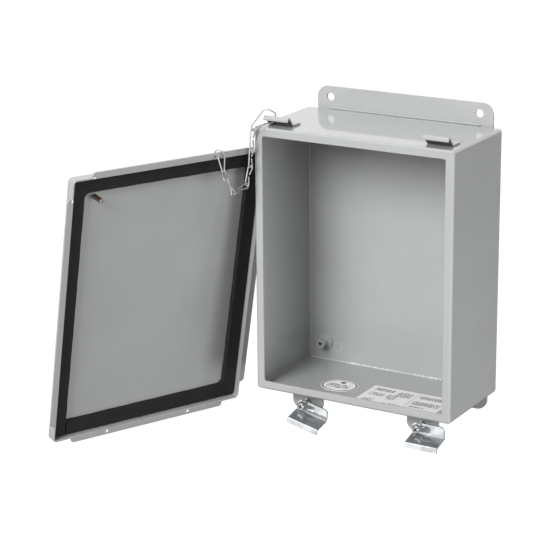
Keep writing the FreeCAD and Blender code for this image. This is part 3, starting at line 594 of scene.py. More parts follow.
def weld_maker():
    """A bead of overlapping drops of uneven size along a line."""
    tree, given = new_maker("Weld bead", (("Geometry", "Geometry"), ("Radius", "Float"),
                                          ("Spacing", "Float"), ("Unevenness", "Float"), ("Seed", "Int"),
                                          ("Material", "Material")))
    line = add_node(tree, "GeometryNodeMeshToCurve", {"Mesh": given["Geometry"]})
    points = add_node(tree, "GeometryNodeResampleCurve",
                      {"Curve": line.outputs[0], "Length": given["Spacing"]}, mode="LENGTH")
    drop = add_node(tree, "GeometryNodeMeshIcoSphere", {"Radius": given["Radius"], "Subdivisions": 3})
    smallest = calculate(tree, "SUBTRACT", 1.0, given["Unevenness"])
    largest = calculate(tree, "ADD", 1.0, given["Unevenness"])
    size = add_node(tree, "FunctionNodeRandomValue", {2: smallest, 3: largest, "Seed": given["Seed"]},
                    data_type="FLOAT").outputs[1]
    drops = add_node(tree, "GeometryNodeInstanceOnPoints",
                     {"Points": points.outputs[0], "Instance": drop.outputs["Mesh"], "Scale": size})
    return finish_maker(tree, drops.outputs[0], given["Material"])


def grow(tree, name, corners, values, bends=None):
    """Run a Geometry Nodes tree on a line of points and keep its result as a plain mesh."""
    path = bpy.data.meshes.new(name + "_line")
    edges = [(i, i + 1) for i in range(len(corners) - 1)]
    path.from_pydata([tuple(corner) for corner in corners], edges, [])
    if bends:
        attribute = path.attributes.new("bend", "FLOAT", "POINT")
        for item, radius in zip(attribute.data, [0.0] + list(bends) + [0.0]):
            item.value = radius
    piece = link_object(name, path)
    modifier = piece.modifiers.new("Maker", "NODES")
    modifier.node_group = tree
    for item in tree.interface.items_tree:
        if item.in_out == "INPUT" and item.name in values:
            modifier[item.identifier] = values[item.name]
    evaluated = piece.evaluated_get(bpy.context.evaluated_depsgraph_get())
    mesh = bpy.data.meshes.new_from_object(evaluated)
    piece.modifiers.remove(modifier)
    piece.data = mesh
    bpy.data.meshes.remove(path)
    mesh.materials.clear()
    mesh.materials.append(values["Material"])
    mesh.polygons.foreach_set("material_index", [0] * len(mesh.polygons))
    if not mesh.polygons:
        raise ValueError(name + " came out empty")
    return piece


def threaded_rod(name, diameter, length, fasteners, material):
    """A threaded rod along Z with the origin at its middle."""
    turns = length / fasteners.thread_pitch
    return grow(thread_maker(), name, [(0, 0, 0), (0, 0, 1 * MM)],
                {"Diameter": diameter, "Length": length, "Pitch": fasteners.thread_pitch,
                 "Depth": fasteners.thread_depth, "Sides": fasteners.sides,
                 "Rings": round(turns * RINGS_PER_THREAD_TURN), "Material": material})


def revolved(profile, sides):
    """A closed skin made by turning a profile of (radius, height) pairs about Z, from pole to pole."""
    edit = bmesh.new()
    rings = []
    for radius, height in profile:
        if radius == 0:
            rings.append([edit.verts.new((0, 0, height))])
            continue
        ring = []
        for step in range(sides):
            angle = math.tau * step / sides
            ring.append(edit.verts.new((radius * math.cos(angle), radius * math.sin(angle), height)))
        rings.append(ring)
    for lower, upper in zip(rings, rings[1:]):
        for step in range(sides):
            following = (step + 1) % sides
            corners = [lower[step % len(lower)], lower[following % len(lower)],
                       upper[following % len(upper)], upper[step % len(upper)]]
            unique = list(dict.fromkeys(corners))
            if len(unique) > 2:
                edit.faces.new(unique)
    bmesh.ops.recalc_face_normals(edit, faces=edit.faces)
    return edit


def cover_place():
    """Where the cover stands: turned, its upper corner by the chain set beside the body."""
    yaw, lean, roll = (math.radians(angle) for angle in COVER_TURN)
    turn = Matrix.Rotation(yaw, 4, "Z") @ Matrix.Rotation(lean, 4, "X") @ Matrix.Rotation(roll, 4, "Y")
    corner = turn @ Vector((COVER_HALF_WIDTH, 0, COVER_HALF_HEIGHT))
    return Matrix.Translation(COVER_CORNER - corner) @ turn


def direction(azimuth, elevation):
    """A unit vector from its compass angle and its rise, in degrees."""
    yaw = math.radians(azimuth)
    rise = math.radians(elevation)
    return Vector((math.cos(rise) * math.cos(yaw), math.cos(rise) * math.sin(yaw), math.sin(rise)))


def in_plane(vector, normal):
    """The unit direction of a vector once its part along a plane's normal is taken out."""
    return (vector - normal * (vector.dot(normal) / normal.dot(normal))).normalized()


class ENCLOSURE_OT_studio(bpy.types.Operator):
    """Pale floor, soft lamps, white surroundings and the camera of the photograph"""

    bl_idname = "enclosure.studio"
    bl_label = "Studio"

    KEY_PLACE = (-0.36, -2.31, 1.36)
    KEY_SIZE = 1.4
    TOP_PLACE = (-0.05, 0.1, 1.6)
    TOP_SIZE = 1.2
    SIDE_PLACE = (1.0, -0.2, -0.24)
    SIDE_SIZE = 0.5
    LAMP_AIM = (-0.05, -0.1, 0)
    FLOOR_HALF_SIZE = 14
    SENSOR_WIDTH = 36

    # What gloss mirrors: discs of light round two directions, each with the cosine at its rim
    DISCS = ((KEY_PLACE, 0.86), ((-0.42, -0.5, 0.76), 0.84))
    DISC_BLUR = 0.07
    # From front to back: where the front floor fades out, the cloth sets in and the light turns
    FLOOR_FADE = (-1.0, 0.2)
    CLOTH_FADE = (-0.1, 0.45)
    LIGHT_FADE = (-0.3, 0.3)

    def execute(self, context):
        settings = context.scene.enclosure_studio
        self.make_floor(settings)
        self.make_world(context.scene, settings)
        self.make_lamp("key_lamp", self.KEY_PLACE, self.KEY_SIZE, settings.key)
        self.make_lamp("top_lamp", self.TOP_PLACE, self.TOP_SIZE, settings.top)
        self.make_lamp("side_lamp", self.SIDE_PLACE, self.SIDE_SIZE, settings.side)
        self.make_camera(context.scene, settings)
        context.scene.view_settings.view_transform = "Standard"
        return {"FINISHED"}

    def make_floor(self, settings):
        """A pale floor that is white to the camera and bright in front as metal mirrors it."""
        size = self.FLOOR_HALF_SIZE
        mesh = bpy.data.meshes.new("studio_floor")
        corners = [(-size, -size), (size, -size), (size, size), (-size, size)]
        mesh.from_pydata([(x, y, settings.floor_height) for x, y in corners], [], [(0, 1, 2, 3)])
        floor = link_object("studio_floor", mesh)
        material = bpy.data.materials.new("studio_floor")
        material.use_nodes = True
        tree = material.node_tree
        tree.nodes.clear()
        tone = settings.floor_tone
        pale = add_node(tree, "ShaderNodeBsdfDiffuse", {"Color": (tone, tone, tone, 1)})
        rays = add_node(tree, "ShaderNodeLightPath").outputs
        seen = calculate(tree, "MULTIPLY", rays["Is Camera Ray"], settings.floor_glow)
        place = add_node(tree, "ShaderNodeTexCoord").outputs["Object"]
        depth = add_node(tree, "ShaderNodeSeparateXYZ", {0: place}).outputs["Y"]
        front = spread(tree, depth, settings.floor_gloss, 0, *self.FLOOR_FADE)
        mirrored = calculate(tree, "MULTIPLY", rays["Is Glossy Ray"], front)
        glow = add_node(tree, "ShaderNodeEmission", {"Strength": calculate(tree, "ADD", seen, mirrored)})
        both = add_node(tree, "ShaderNodeAddShader", {0: pale.outputs[0], 1: glow.outputs[0]})
        add_node(tree, "ShaderNodeOutputMaterial", {"Surface": both.outputs[0]})
        mesh.materials.append(material)

    def make_world(self, scene, settings):
        """White to the camera, and a darker room to whatever is lit or mirrors it."""
        world = bpy.data.worlds.new("studio_world")
        world.use_nodes = True
        tree = world.node_tree
        tree.nodes.clear()
        rays = add_node(tree, "ShaderNodeLightPath").outputs
        aim = add_node(tree, "ShaderNodeTexCoord").outputs["Generated"]
        depth = add_node(tree, "ShaderNodeSeparateXYZ", {0: aim}).outputs["Y"]
        mirrored = spread(tree, depth, settings.dark_side, settings.cloth_gloss, *self.CLOTH_FADE)
        for place, edge in self.DISCS:
            facing = add_node(tree, "ShaderNodeVectorMath", {0: aim, 1: Vector(place).normalized()},
                              operation="DOT_PRODUCT").outputs["Value"]
            disc = spread(tree, facing, 0, settings.softbox, edge, edge + self.DISC_BLUR)
            mirrored = calculate(tree, "MAXIMUM", mirrored, disc)
        strength = spread(tree, depth, settings.sky, settings.backdrop, *self.LIGHT_FADE)
        seen = calculate(tree, "MAXIMUM", rays["Is Camera Ray"], rays["Is Transmission Ray"])
        for share, light in ((rays["Is Glossy Ray"], mirrored), (seen, 1.0)):
            strength = add_node(tree, "ShaderNodeMix", {"Factor": share, "A": strength, "B": light},
                                data_type="FLOAT").outputs[0]
        sky = add_node(tree, "ShaderNodeBackground", {"Color": (1, 1, 1, 1), "Strength": strength})
        add_node(tree, "ShaderNodeOutputWorld", {"Surface": sky.outputs[0]})
        scene.world = world

    def make_lamp(self, name, place, size, power):
        lamp = bpy.data.lights.new(name, "AREA")
        lamp.shape = "DISK"
        lamp.size = size
        lamp.energy = power
        holder = bpy.data.objects.new(name, lamp)
        holder.location = place
        sight = Vector(self.LAMP_AIM) - Vector(place)
        holder.rotation_euler = sight.to_track_quat("-Z", "Y").to_euler()
        holder.visible_glossy = False
        bpy.context.scene.collection.objects.link(holder)

    def make_camera(self, scene, settings):
        azimuth = math.radians(settings.azimuth)
        elevation = math.radians(settings.elevation)
        level = math.cos(elevation)
        back = Vector((math.sin(azimuth) * level, -math.cos(azimuth) * level, math.sin(elevation)))
        camera = bpy.data.cameras.new("photo_camera")
        camera.lens = settings.lens
        camera.sensor_width = self.SENSOR_WIDTH
        holder = bpy.data.objects.new("photo_camera", camera)
        upright = Euler((math.pi / 2 - elevation, 0, azimuth)).to_matrix()
        turn = upright @ Matrix.Rotation(math.radians(settings.roll), 3, "Z")
        place = Vector(settings.aim) + back * settings.distance
        holder.matrix_world = Matrix.Translation(place) @ turn.to_4x4()
        scene.collection.objects.link(holder)
        scene.camera = holder


class ENCLOSURE_OT_painted_steel(bpy.types.Operator):
    """Body, feet, hooks, brackets, studs and cover in powder paint, with soft cut edges"""

    bl_idname = "enclosure.painted_steel"
    bl_label = "Painted steel"

    COVER_SKIN = 0.13
    INNER_SKIN = 0.24
    # The inner walls' paint is a little darker, a painted shade
    INNER_LIGHTNESS = 0.96
    # Lightness and roughness of the dark paint under the hooks' webs, a painted shade
    PRIMER_LIGHTNESS = 0.2
    PRIMER_ROUGHNESS = 0.6

    def execute(self, context):
        settings = context.scene.enclosure_paint
        paint = powder_paint(settings)
        softer = powder_paint(settings, "cover_paint", skin=self.COVER_SKIN)
        for node in PAINTED_NODES:
            coat = softer if node == "cover_panel" else paint
            piece = smooth_copy(node, "painted_", coat, settings.edge_softness)
            if node == "enclosure_body":
                inner = powder_paint(settings, "inner_paint", self.INNER_LIGHTNESS, skin=self.INNER_SKIN)
                self.paint_inside(piece, inner)
            # Painted shade: a dark paint on the faces under each hook's raised web
            if node.startswith("hook"):
                self.shade_underside(piece, powder_paint(settings, node + "_primer",
                                                         self.PRIMER_LIGHTNESS, self.PRIMER_ROUGHNESS))
            settle(piece, node)
        return {"FINISHED"}

    def shade_underside(self, piece, underside_shade):
        """Painted shade: the faces under the raised web of a hook take a dark paint without a skin, where
        shade falls.
        """
        underside_shade.node_tree.nodes["Principled BSDF"].inputs["Coat Weight"].default_value = 0.0
        piece.data.materials.append(underside_shade)
        for face in piece.data.polygons:
            if face.normal.y < -0.5 and face.normal.z < -0.4:
                face.material_index = 1

    def paint_inside(self, piece, paint):
        """The inner walls, out of the spray's reach, have a softer skin, and their paint is a little darker
        as painted shade inside the box.
        """
        piece.data.materials.append(paint)
        slack = 0.05 * MM
        for face in piece.data.polygons:
            inside = abs(face.center.x) < INNER_X + slack and abs(face.center.z) < INNER_Z + slack
            if inside and FRONT_Y + BODY_SHEET - slack < face.center.y < INNER_BACK_Y + slack:
                face.material_index = 1


class ENCLOSURE_OT_weld_beads(bpy.types.Operator):
    """Welds under the paint, the joints over the mouth and the drops on the cover's lips"""

    bl_idname = "enclosure.weld_beads"
    bl_label = "Weld beads"

    # Lightness and roughness of each paint
    # The weld and ground joint paints are lighter as painted highlight, the slit paint darker as painted
    # shade
    WELD_TONE = (1.75, 0.2)
    SLIT_TONE = (0.1, 0.6)
    GROUND_TONE = (1.3, 0.3)

    FOOT_BEAD = {"Radius": 1.25 * MM, "Spacing": 0.95 * MM, "Unevenness": 0.12}
    FOOT_BEAD_SEED = 3
    FOOT_BEAD_INSET = 1.5 * MM
    FOOT_BEAD_SINK = 0.45 * MM
    HEAVY_BEAD = {"Radius": 0.9 * MM, "Spacing": 2.3 * MM, "Unevenness": 0.75, "Seed": 11}
    HEAVY_BEAD_LEFT = -58 * MM
    FLOOR_BEAD_RIGHT = 97 * MM
    SEAM_WIDTH = 0.7 * MM
    SEAM_SIDES = 12
    SEAM_TOP_GAP = 2 * MM
    SEAM_FRONT_GAP = 6 * MM
    RING_CENTRE = (-68.5 * MM, INNER_BACK_Y, -110.7 * MM)
    RING_RADIUS = 4.2 * MM
    RING_WIDTH = 0.3 * MM
    RING_SIDES = 8
    RING_STEPS = 36
    # The joints over the mouth: where, up to which angle in degrees, how wide and how deep in the sheet
    SLIT = {"x": -90.8 * MM, "last": 40, "width": 0.9 * MM}
    GROUND_JOINT = {"x": 84.2 * MM, "last": 80, "width": 0.7 * MM}
    MARK_STEP = 10
    MARK_SIDES = 10
    MARK_SINK = 0.25

    DROP = {"Radius": 0.95 * MM, "Spacing": 0.8 * MM, "Unevenness": 0.1, "Seed": 5}
    # Where the lips end, from the cover's outer top corner, and which way a drop runs from there, in mm
    DROPS = (
        ("top_fold_highlight_drop", (19.5, 0.4, 0.9), (1.2, 0, 0)),
        ("side_fold_highlight_drop", (-0.9, 0.4, -17.5), (0, 0, -1.2)),
    )

    def execute(self, context):
        settings = context.scene.enclosure_paint
        paint = powder_paint(settings, "weld_highlight_paint", *self.WELD_TONE)
        slit = powder_paint(settings, "slit_shadow", *self.SLIT_TONE)
        ground = powder_paint(settings, "ground_weld_highlight", *self.GROUND_TONE)
        self.foot_welds(bpy.data.materials["powder_paint"])
        self.inner_seams(paint)
        self.ring_mark(paint)
        self.mouth_joint("bend_slit", self.SLIT, slit)
        # The joint on the right is drawn as a lighter line across the bend, a painted highlight
        self.mouth_joint("bend_joint", self.GROUND_JOINT, ground)
        self.fold_drops(paint)
        return {"FINISHED"}

    def bead(self, name, ends, values, paint):
        """Overlapping drops of weld or paint between two points."""
        return grow(weld_maker(), name, ends, {**values, "Material": paint})

    def body_line(self, name, corners, width, sides, paint):
        """A thin round line of weld or paint on the body."""
        piece = grow(wire_maker(), name, corners,
                     {"Diameter": width, "Sides": sides, "Bend steps": 1, "Material": paint},
                     [0.0] * (len(corners) - 2))
        settle(piece, "enclosure_body", replaced=False)

    def foot_welds(self, paint):
        """The fillet where each foot meets the edge of the back."""
        sink = self.FOOT_BEAD_SINK
        inset = self.FOOT_BEAD_INSET
        for number, side in enumerate(("lower", "upper")):
            node = side + "_foot_weld"
            low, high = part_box(node)
            height = low.z + sink if side == "upper" else high.z - sink
            ends = [(x, BACK_Y - sink, height) for x in (low.x + inset, high.x - inset)]
            values = {**self.FOOT_BEAD, "Seed": number + self.FOOT_BEAD_SEED}
            piece = self.bead("painted_" + node, ends, values, paint)
            settle(piece, node)

    def inner_seams(self, paint):
        """The heavy bead along the back of the floor, and a fine line of weld in each inner corner, lighter
        as painted highlight.
        """
        floor = -INNER_Z
        back = INNER_BACK_Y
        right = self.FLOOR_BEAD_RIGHT
        ends = [(self.HEAVY_BEAD_LEFT, back, floor), (right, back, floor)]
        heavy = self.bead("floor_weld_bead", ends, self.HEAVY_BEAD, paint)
        settle(heavy, "enclosure_body", replaced=False)
        seams = {"floor_back_seam": [(-INNER_X, back, floor), (right, back, floor)]}
        for side, x in (("left", -INNER_X), ("right", INNER_X)):
            corner = (x, back, floor)
            seams[side + "_back_seam"] = [corner, (x, back, INNER_Z - self.SEAM_TOP_GAP)]
            seams[side + "_floor_seam"] = [corner, (x, FRONT_Y + self.SEAM_FRONT_GAP, floor)]
        for name, corners in seams.items():
            self.body_line(name, corners, self.SEAM_WIDTH, self.SEAM_SIDES, paint)

    def ring_mark(self, paint):
        """The ring that a weld on the outside left on the back wall."""
        corners = []
        for step in range(self.RING_STEPS + 1):
            angle = math.tau * step / self.RING_STEPS
            ray = Vector((math.cos(angle), 0, math.sin(angle)))
            corners.append(Vector(self.RING_CENTRE) + ray * self.RING_RADIUS)
        self.body_line("back_weld_ring", corners, self.RING_WIDTH, self.RING_SIDES, paint)

    def mouth_joint(self, name, joint, paint):
        """A joint that runs across the bend over the mouth, from its front up to an angle in degrees."""
        centre = Vector((joint["x"], FRONT_Y + MOUTH_BEND, HALF_HEIGHT - MOUTH_BEND))
        reach = MOUTH_BEND - joint["width"] * self.MARK_SINK
        corners = []
        for angle in range(0, joint["last"] + 1, self.MARK_STEP):
            ray = Vector((0, -math.cos(math.radians(angle)), math.sin(math.radians(angle))))
            corners.append(centre + ray * reach)
        self.body_line(name, corners, joint["width"], self.MARK_SIDES, paint)

    def fold_drops(self, paint):
        """A small drop of lighter paint at each end of the cover's lips at its outer top corner, a painted
        highlight.
        """
        corner = Vector((-COVER_HALF_WIDTH, -COVER_RIM_DEPTH, COVER_HALF_HEIGHT))
        for name, end, run in self.DROPS:
            start = corner + Vector(end) * MM
            piece = self.bead(name, [start, start + Vector(run) * MM], self.DROP, paint)
            piece.data.transform(cover_place())
            settle(piece, "cover_panel", replaced=False)


class ENCLOSURE_OT_clamps(bpy.types.Operator):
    """Zinc clamps, spring washers and press-in nuts"""

    bl_idname = "enclosure.clamps"
    bl_label = "Clamps and washers"

    def execute(self, context):
        settings = context.scene.enclosure_metals
        zinc = bright_zinc(settings)
        for node in ZINC_NODES:
            piece = smooth_copy(node, "zinc_", zinc, settings.burr)
            settle(piece, node)
        return {"FINISHED"}


class ENCLOSURE_OT_clamp_screws(bpy.types.Operator):
    """Pan-head screws with a cross recess and a cut thread"""

    bl_idname = "enclosure.clamp_screws"
    bl_label = "Clamp screws"

    HEAD_DIAMETER = 8.2 * MM
    HEAD_HEIGHT = 3.0 * MM
    HEAD_SIDES = 48
    SHANK_DIAMETER = 4.8 * MM
    RECESS_SPAN = 5.6 * MM
    RECESS_WIDTH = 1.5 * MM
    RECESS_DEPTH = 1.7 * MM
    RECESS_TAPER = 0.65
    RECESS_REACH = 0.52
    SHARP_ANGLE = 38
    BRIGHT_RIM = 0.3 * MM
    UNDER_HEAD = 0.5 * MM
    # Up the side and over the dome: the way in from the rim and the height over the seat, in mm
    DOME = ((0.2, 0), (0, 0.25), (0, 1.2), (0.15, 1.75), (0.55, 2.3), (1.2, 2.68), (2.1, 2.88))
    # How far the cross of each screw is turned, in degrees
    TURNS = {"left": 20, "right": 48}

    def execute(self, context):
        zinc = bright_zinc(context.scene.enclosure_metals, "screw_zinc", 0.8)
        recess_shade = recess_dirt()
        along_y = Matrix.Rotation(-math.pi / 2, 4, "X")
        for side, angle in self.TURNS.items():
            node = "clamp_screw_" + side
            low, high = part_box(node)
            centre = (low + high) / 2
            length = high.y - low.y - self.HEAD_HEIGHT
            seat_y = low.y + self.HEAD_HEIGHT
            piece = threaded_rod("zinc_" + node, self.SHANK_DIAMETER, length,
                                 context.scene.enclosure_fasteners, zinc)
            middle = Vector((centre.x, seat_y + length / 2, centre.z))
            piece.data.transform(Matrix.Translation(middle) @ along_y)
            turn = Matrix.Rotation(math.radians(angle), 4, "Z")
            seat = Matrix.Translation(Vector((centre.x, seat_y, centre.z))) @ along_y @ turn
            self.add_head(piece, seat, recess_shade)
            settle(piece, node)
        return {"FINISHED"}

    def add_head(self, piece, place, recess_shade):
        """Join a domed head with its cross recess on the screw, its top facing -Z of the place."""
        radius = self.HEAD_DIAMETER / 2
        height = self.HEAD_HEIGHT
        dome = [(radius - inset * MM, -rise * MM) for inset, rise in self.DOME]
        head = object_from(revolved([(0, 0), *dome, (0, -height)], self.HEAD_SIDES), "screw_head")
        cutters = []
        for size in ((self.RECESS_SPAN, self.RECESS_WIDTH), (self.RECESS_WIDTH, self.RECESS_SPAN)):
            cutter = self.make_cutter(size)
            cutters.append(cutter)
            cut = head.modifiers.new("Recess", "BOOLEAN")
            cut.operation = "DIFFERENCE"
            cut.object = cutter
            cut.solver = "EXACT"
        evaluated = head.evaluated_get(bpy.context.evaluated_depsgraph_get())
        cut_mesh = bpy.data.meshes.new_from_object(evaluated)
        cut_mesh.transform(place)
        for spare in (head, *cutters):
            bpy.data.objects.remove(spare)
        joined = bmesh.new()
        joined.from_mesh(piece.data)
        threads = len(joined.faces)
        joined.from_mesh(cut_mesh)
        back = place.inverted()
        # Faces deep in the cross recess take the dark paint, a painted shade
        for number, face in enumerate(joined.faces):
            centre = back @ face.calc_center_median()
            deep = -height + self.BRIGHT_RIM < centre.z < -self.UNDER_HEAD
            hollow = deep and centre.xy.length < self.RECESS_SPAN * self.RECESS_REACH
            face.smooth = True
            face.material_index = 1 if number >= threads and hollow else 0
        joined.to_mesh(piece.data)
        joined.free()
        piece.data.materials.append(recess_shade)
        piece.data.set_sharp_from_angle(angle=math.radians(self.SHARP_ANGLE))

    def make_cutter(self, size):
        """One bar of the cross, narrower at its bottom in the head."""
        edit = bmesh.new()
        bmesh.ops.create_cube(edit, size=1)
        bmesh.ops.scale(edit, vec=(*size, self.RECESS_DEPTH * 2), verts=edit.verts)
        for vertex in edit.verts:
            if vertex.co.z > 0:
                vertex.co.x *= self.RECESS_TAPER
                vertex.co.y *= self.RECESS_TAPER
        bmesh.ops.translate(edit, vec=(0, 0, -self.HEAD_HEIGHT), verts=edit.verts)
        return object_from(edit, "recess")


class ENCLOSURE_OT_bonding_stud(bpy.types.Operator):
    """The copper-flashed stud on the cover, bright at its end"""

    bl_idname = "enclosure.bonding_stud"
    bl_label = "Bonding stud"

    DIAMETER = 4.8 * MM
    LENGTH = 12.0 * MM
    INSET_X = 27.9 * MM
    INSET_Z = 21.3 * MM
    BRIGHT_END = 0.9 * MM
    TIP_SIDES = 40
    TIP_SHARP_ANGLE = 30
    TIP_OVERLAP = 0.2 * MM
    TIP_CHAMFER = (0.3 * MM, 0.25 * MM)

    def execute(self, context):
        metals = context.scene.enclosure_metals
        fasteners = context.scene.enclosure_fasteners
        threaded = self.LENGTH - self.BRIGHT_END
        piece = threaded_rod("copper_bonding_stud", self.DIAMETER, threaded, fasteners,
                             copper_flash(metals))
        tip = self.make_tip(metals, fasteners.thread_depth)
        foot = Vector((-COVER_HALF_WIDTH + self.INSET_X, 0, COVER_HALF_HEIGHT - self.INSET_Z))
        outward = Matrix.Rotation(math.pi / 2, 4, "X")
        for part, slot, rise in ((piece, "copper_stud", threaded / 2), (tip, "zinc_steel", threaded)):
            part.data.transform(cover_place() @ Matrix.Translation(foot + Vector((0, -rise, 0))) @ outward)
            settle(part, "bonding_stud", replaced=part is piece)
        return {"FINISHED"}

    def make_tip(self, metals, depth):
        """The end of the stud, without thread and with a chamfer."""
        radius = self.DIAMETER / 2
        end = self.BRIGHT_END
        inset, drop = self.TIP_CHAMFER
        profile = [(0, -self.TIP_OVERLAP), (radius - depth, -self.TIP_OVERLAP),
                   (radius - 0.5 * depth, 0.1 * MM), (radius - depth, end - drop),
                   (radius - depth - inset, end), (0, end)]
        tip = object_from(revolved(profile, self.TIP_SIDES), "bonding_stud_tip")
        tip.data.shade_smooth()
        tip.data.materials.append(bright_zinc(metals, "stud_tip", 0.7))
        tip.data.set_sharp_from_angle(angle=math.radians(self.TIP_SHARP_ANGLE))
        return tip


class ENCLOSURE_OT_gasket(bpy.types.Operator):
    """The foam strip round the inside of the cover, butted at one lower corner"""

    bl_idname = "enclosure.gasket"
    bl_label = "Foam gasket"

    OUTER_RADIUS = 2.4 * MM
    WALL_GAP = 1.0 * MM
    SEAM_INSET = 13.0 * MM
    STATION_STEP = 6.0 * MM
    CORNER_STEPS = 10
    LAST_TURN = 85
    SHARP_ANGLE = 50
    # From the foot of the strip's side to its crown: the way in, in mm, and the share of its thickness
    SIDE_PROFILE = ((0, 0.0), (0, 0.72), (0.25, 0.88), (0.7, 0.96), (1.6, 0.99), (3.6, 1.0))
    CROWN = 1.02

    def execute(self, context):
        settings = context.scene.enclosure_foam
        edit = bmesh.new()
        sections = []
        for number, (outer, inner) in enumerate(self.stations(settings)):
            points = self.section(outer, inner, number, settings)
            sections.append([edit.verts.new(point) for point in points])
        for before, after in zip(sections, sections[1:]):
            count = len(before)
            for step in range(count):
                following = (step + 1) % count
                edit.faces.new((before[step], before[following], after[following], after[step]))
        edit.faces.new(sections[0][::-1])
        edit.faces.new(sections[-1])
        bmesh.ops.recalc_face_normals(edit, faces=edit.faces)
        edit.transform(cover_place())
        piece = object_from(edit, "foam_gasket")
        piece.data.shade_smooth()
        piece.data.materials.append(black_foam(settings))
        piece.data.set_sharp_from_angle(angle=math.radians(self.SHARP_ANGLE))
        settle(piece, "cover_gasket")
        return {"FINISHED"}

    def stations(self, settings):
        """Pairs of points on the strip's outer and inner side, from one end of the strip to the other."""
        outer_x = COVER_HALF_WIDTH - self.WALL_GAP
        outer_z = COVER_HALF_HEIGHT - self.WALL_GAP
        inner_x = COVER_HALF_WIDTH - settings.width
        inner_z = COVER_HALF_HEIGHT - settings.width
        seam_x = -outer_x + self.SEAM_INSET
        pairs = [tuple(Vector((seam_x + settings.seam_gap, 0, z)) for z in (-outer_z, -inner_z))]
        for start, (side_x, side_z) in ((-90, (1, -1)), (0, (1, 1)), (90, (-1, 1))):
            for step in range(self.CORNER_STEPS + 1):
                angle = math.radians(start + 90 * step / self.CORNER_STEPS)
                ray = Vector((math.cos(angle), 0, math.sin(angle)))
                pair = []
                for half_x, half_z, radius in ((outer_x, outer_z, self.OUTER_RADIUS),
                                               (inner_x, inner_z, settings.corner)):
                    centre = Vector((side_x * (half_x - radius), 0, side_z * (half_z - radius)))
                    pair.append(centre + ray * radius)
                pairs.append(tuple(pair))
        radius = self.OUTER_RADIUS
        for step in range(self.CORNER_STEPS + 1):
            angle = math.radians(self.LAST_TURN * step / self.CORNER_STEPS)
            x = -outer_x + radius - radius * math.cos(angle)
            z = -outer_z + radius - radius * math.sin(angle)
            pairs.append((Vector((x, 0, z)), Vector((seam_x, 0, z))))
        filled = [pairs[0]]
        for pair in pairs[1:]:
            last = filled[-1]
            gap = max((pair[0] - last[0]).length, (pair[1] - last[1]).length)
            cuts = max(1, round(gap / self.STATION_STEP))
            for cut in range(1, cuts + 1):
                filled.append((last[0].lerp(pair[0], cut / cuts), last[1].lerp(pair[1], cut / cuts)))
        return filled

    def section(self, outer, inner, number, settings):
        """One cross section: flat under, rounded at both edges and slightly crowned."""
        across = (inner - outer).normalized()
        wander = 0.12 * MM * math.sin(number * 0.9) + 0.08 * MM * math.sin(number * 2.3)
        width = (inner - outer).length + wander
        full = settings.thickness - 0.12 * MM - 0.06 * MM * math.sin(number * 0.7)
        stops = [(inset * MM, share) for inset, share in self.SIDE_PROFILE]
        stops.append((width / 2, self.CROWN))
        stops.extend((width - inset * MM, share) for inset, share in reversed(self.SIDE_PROFILE))
        return [outer + across * inset + Vector((0, -full * share, 0)) for inset, share in stops]


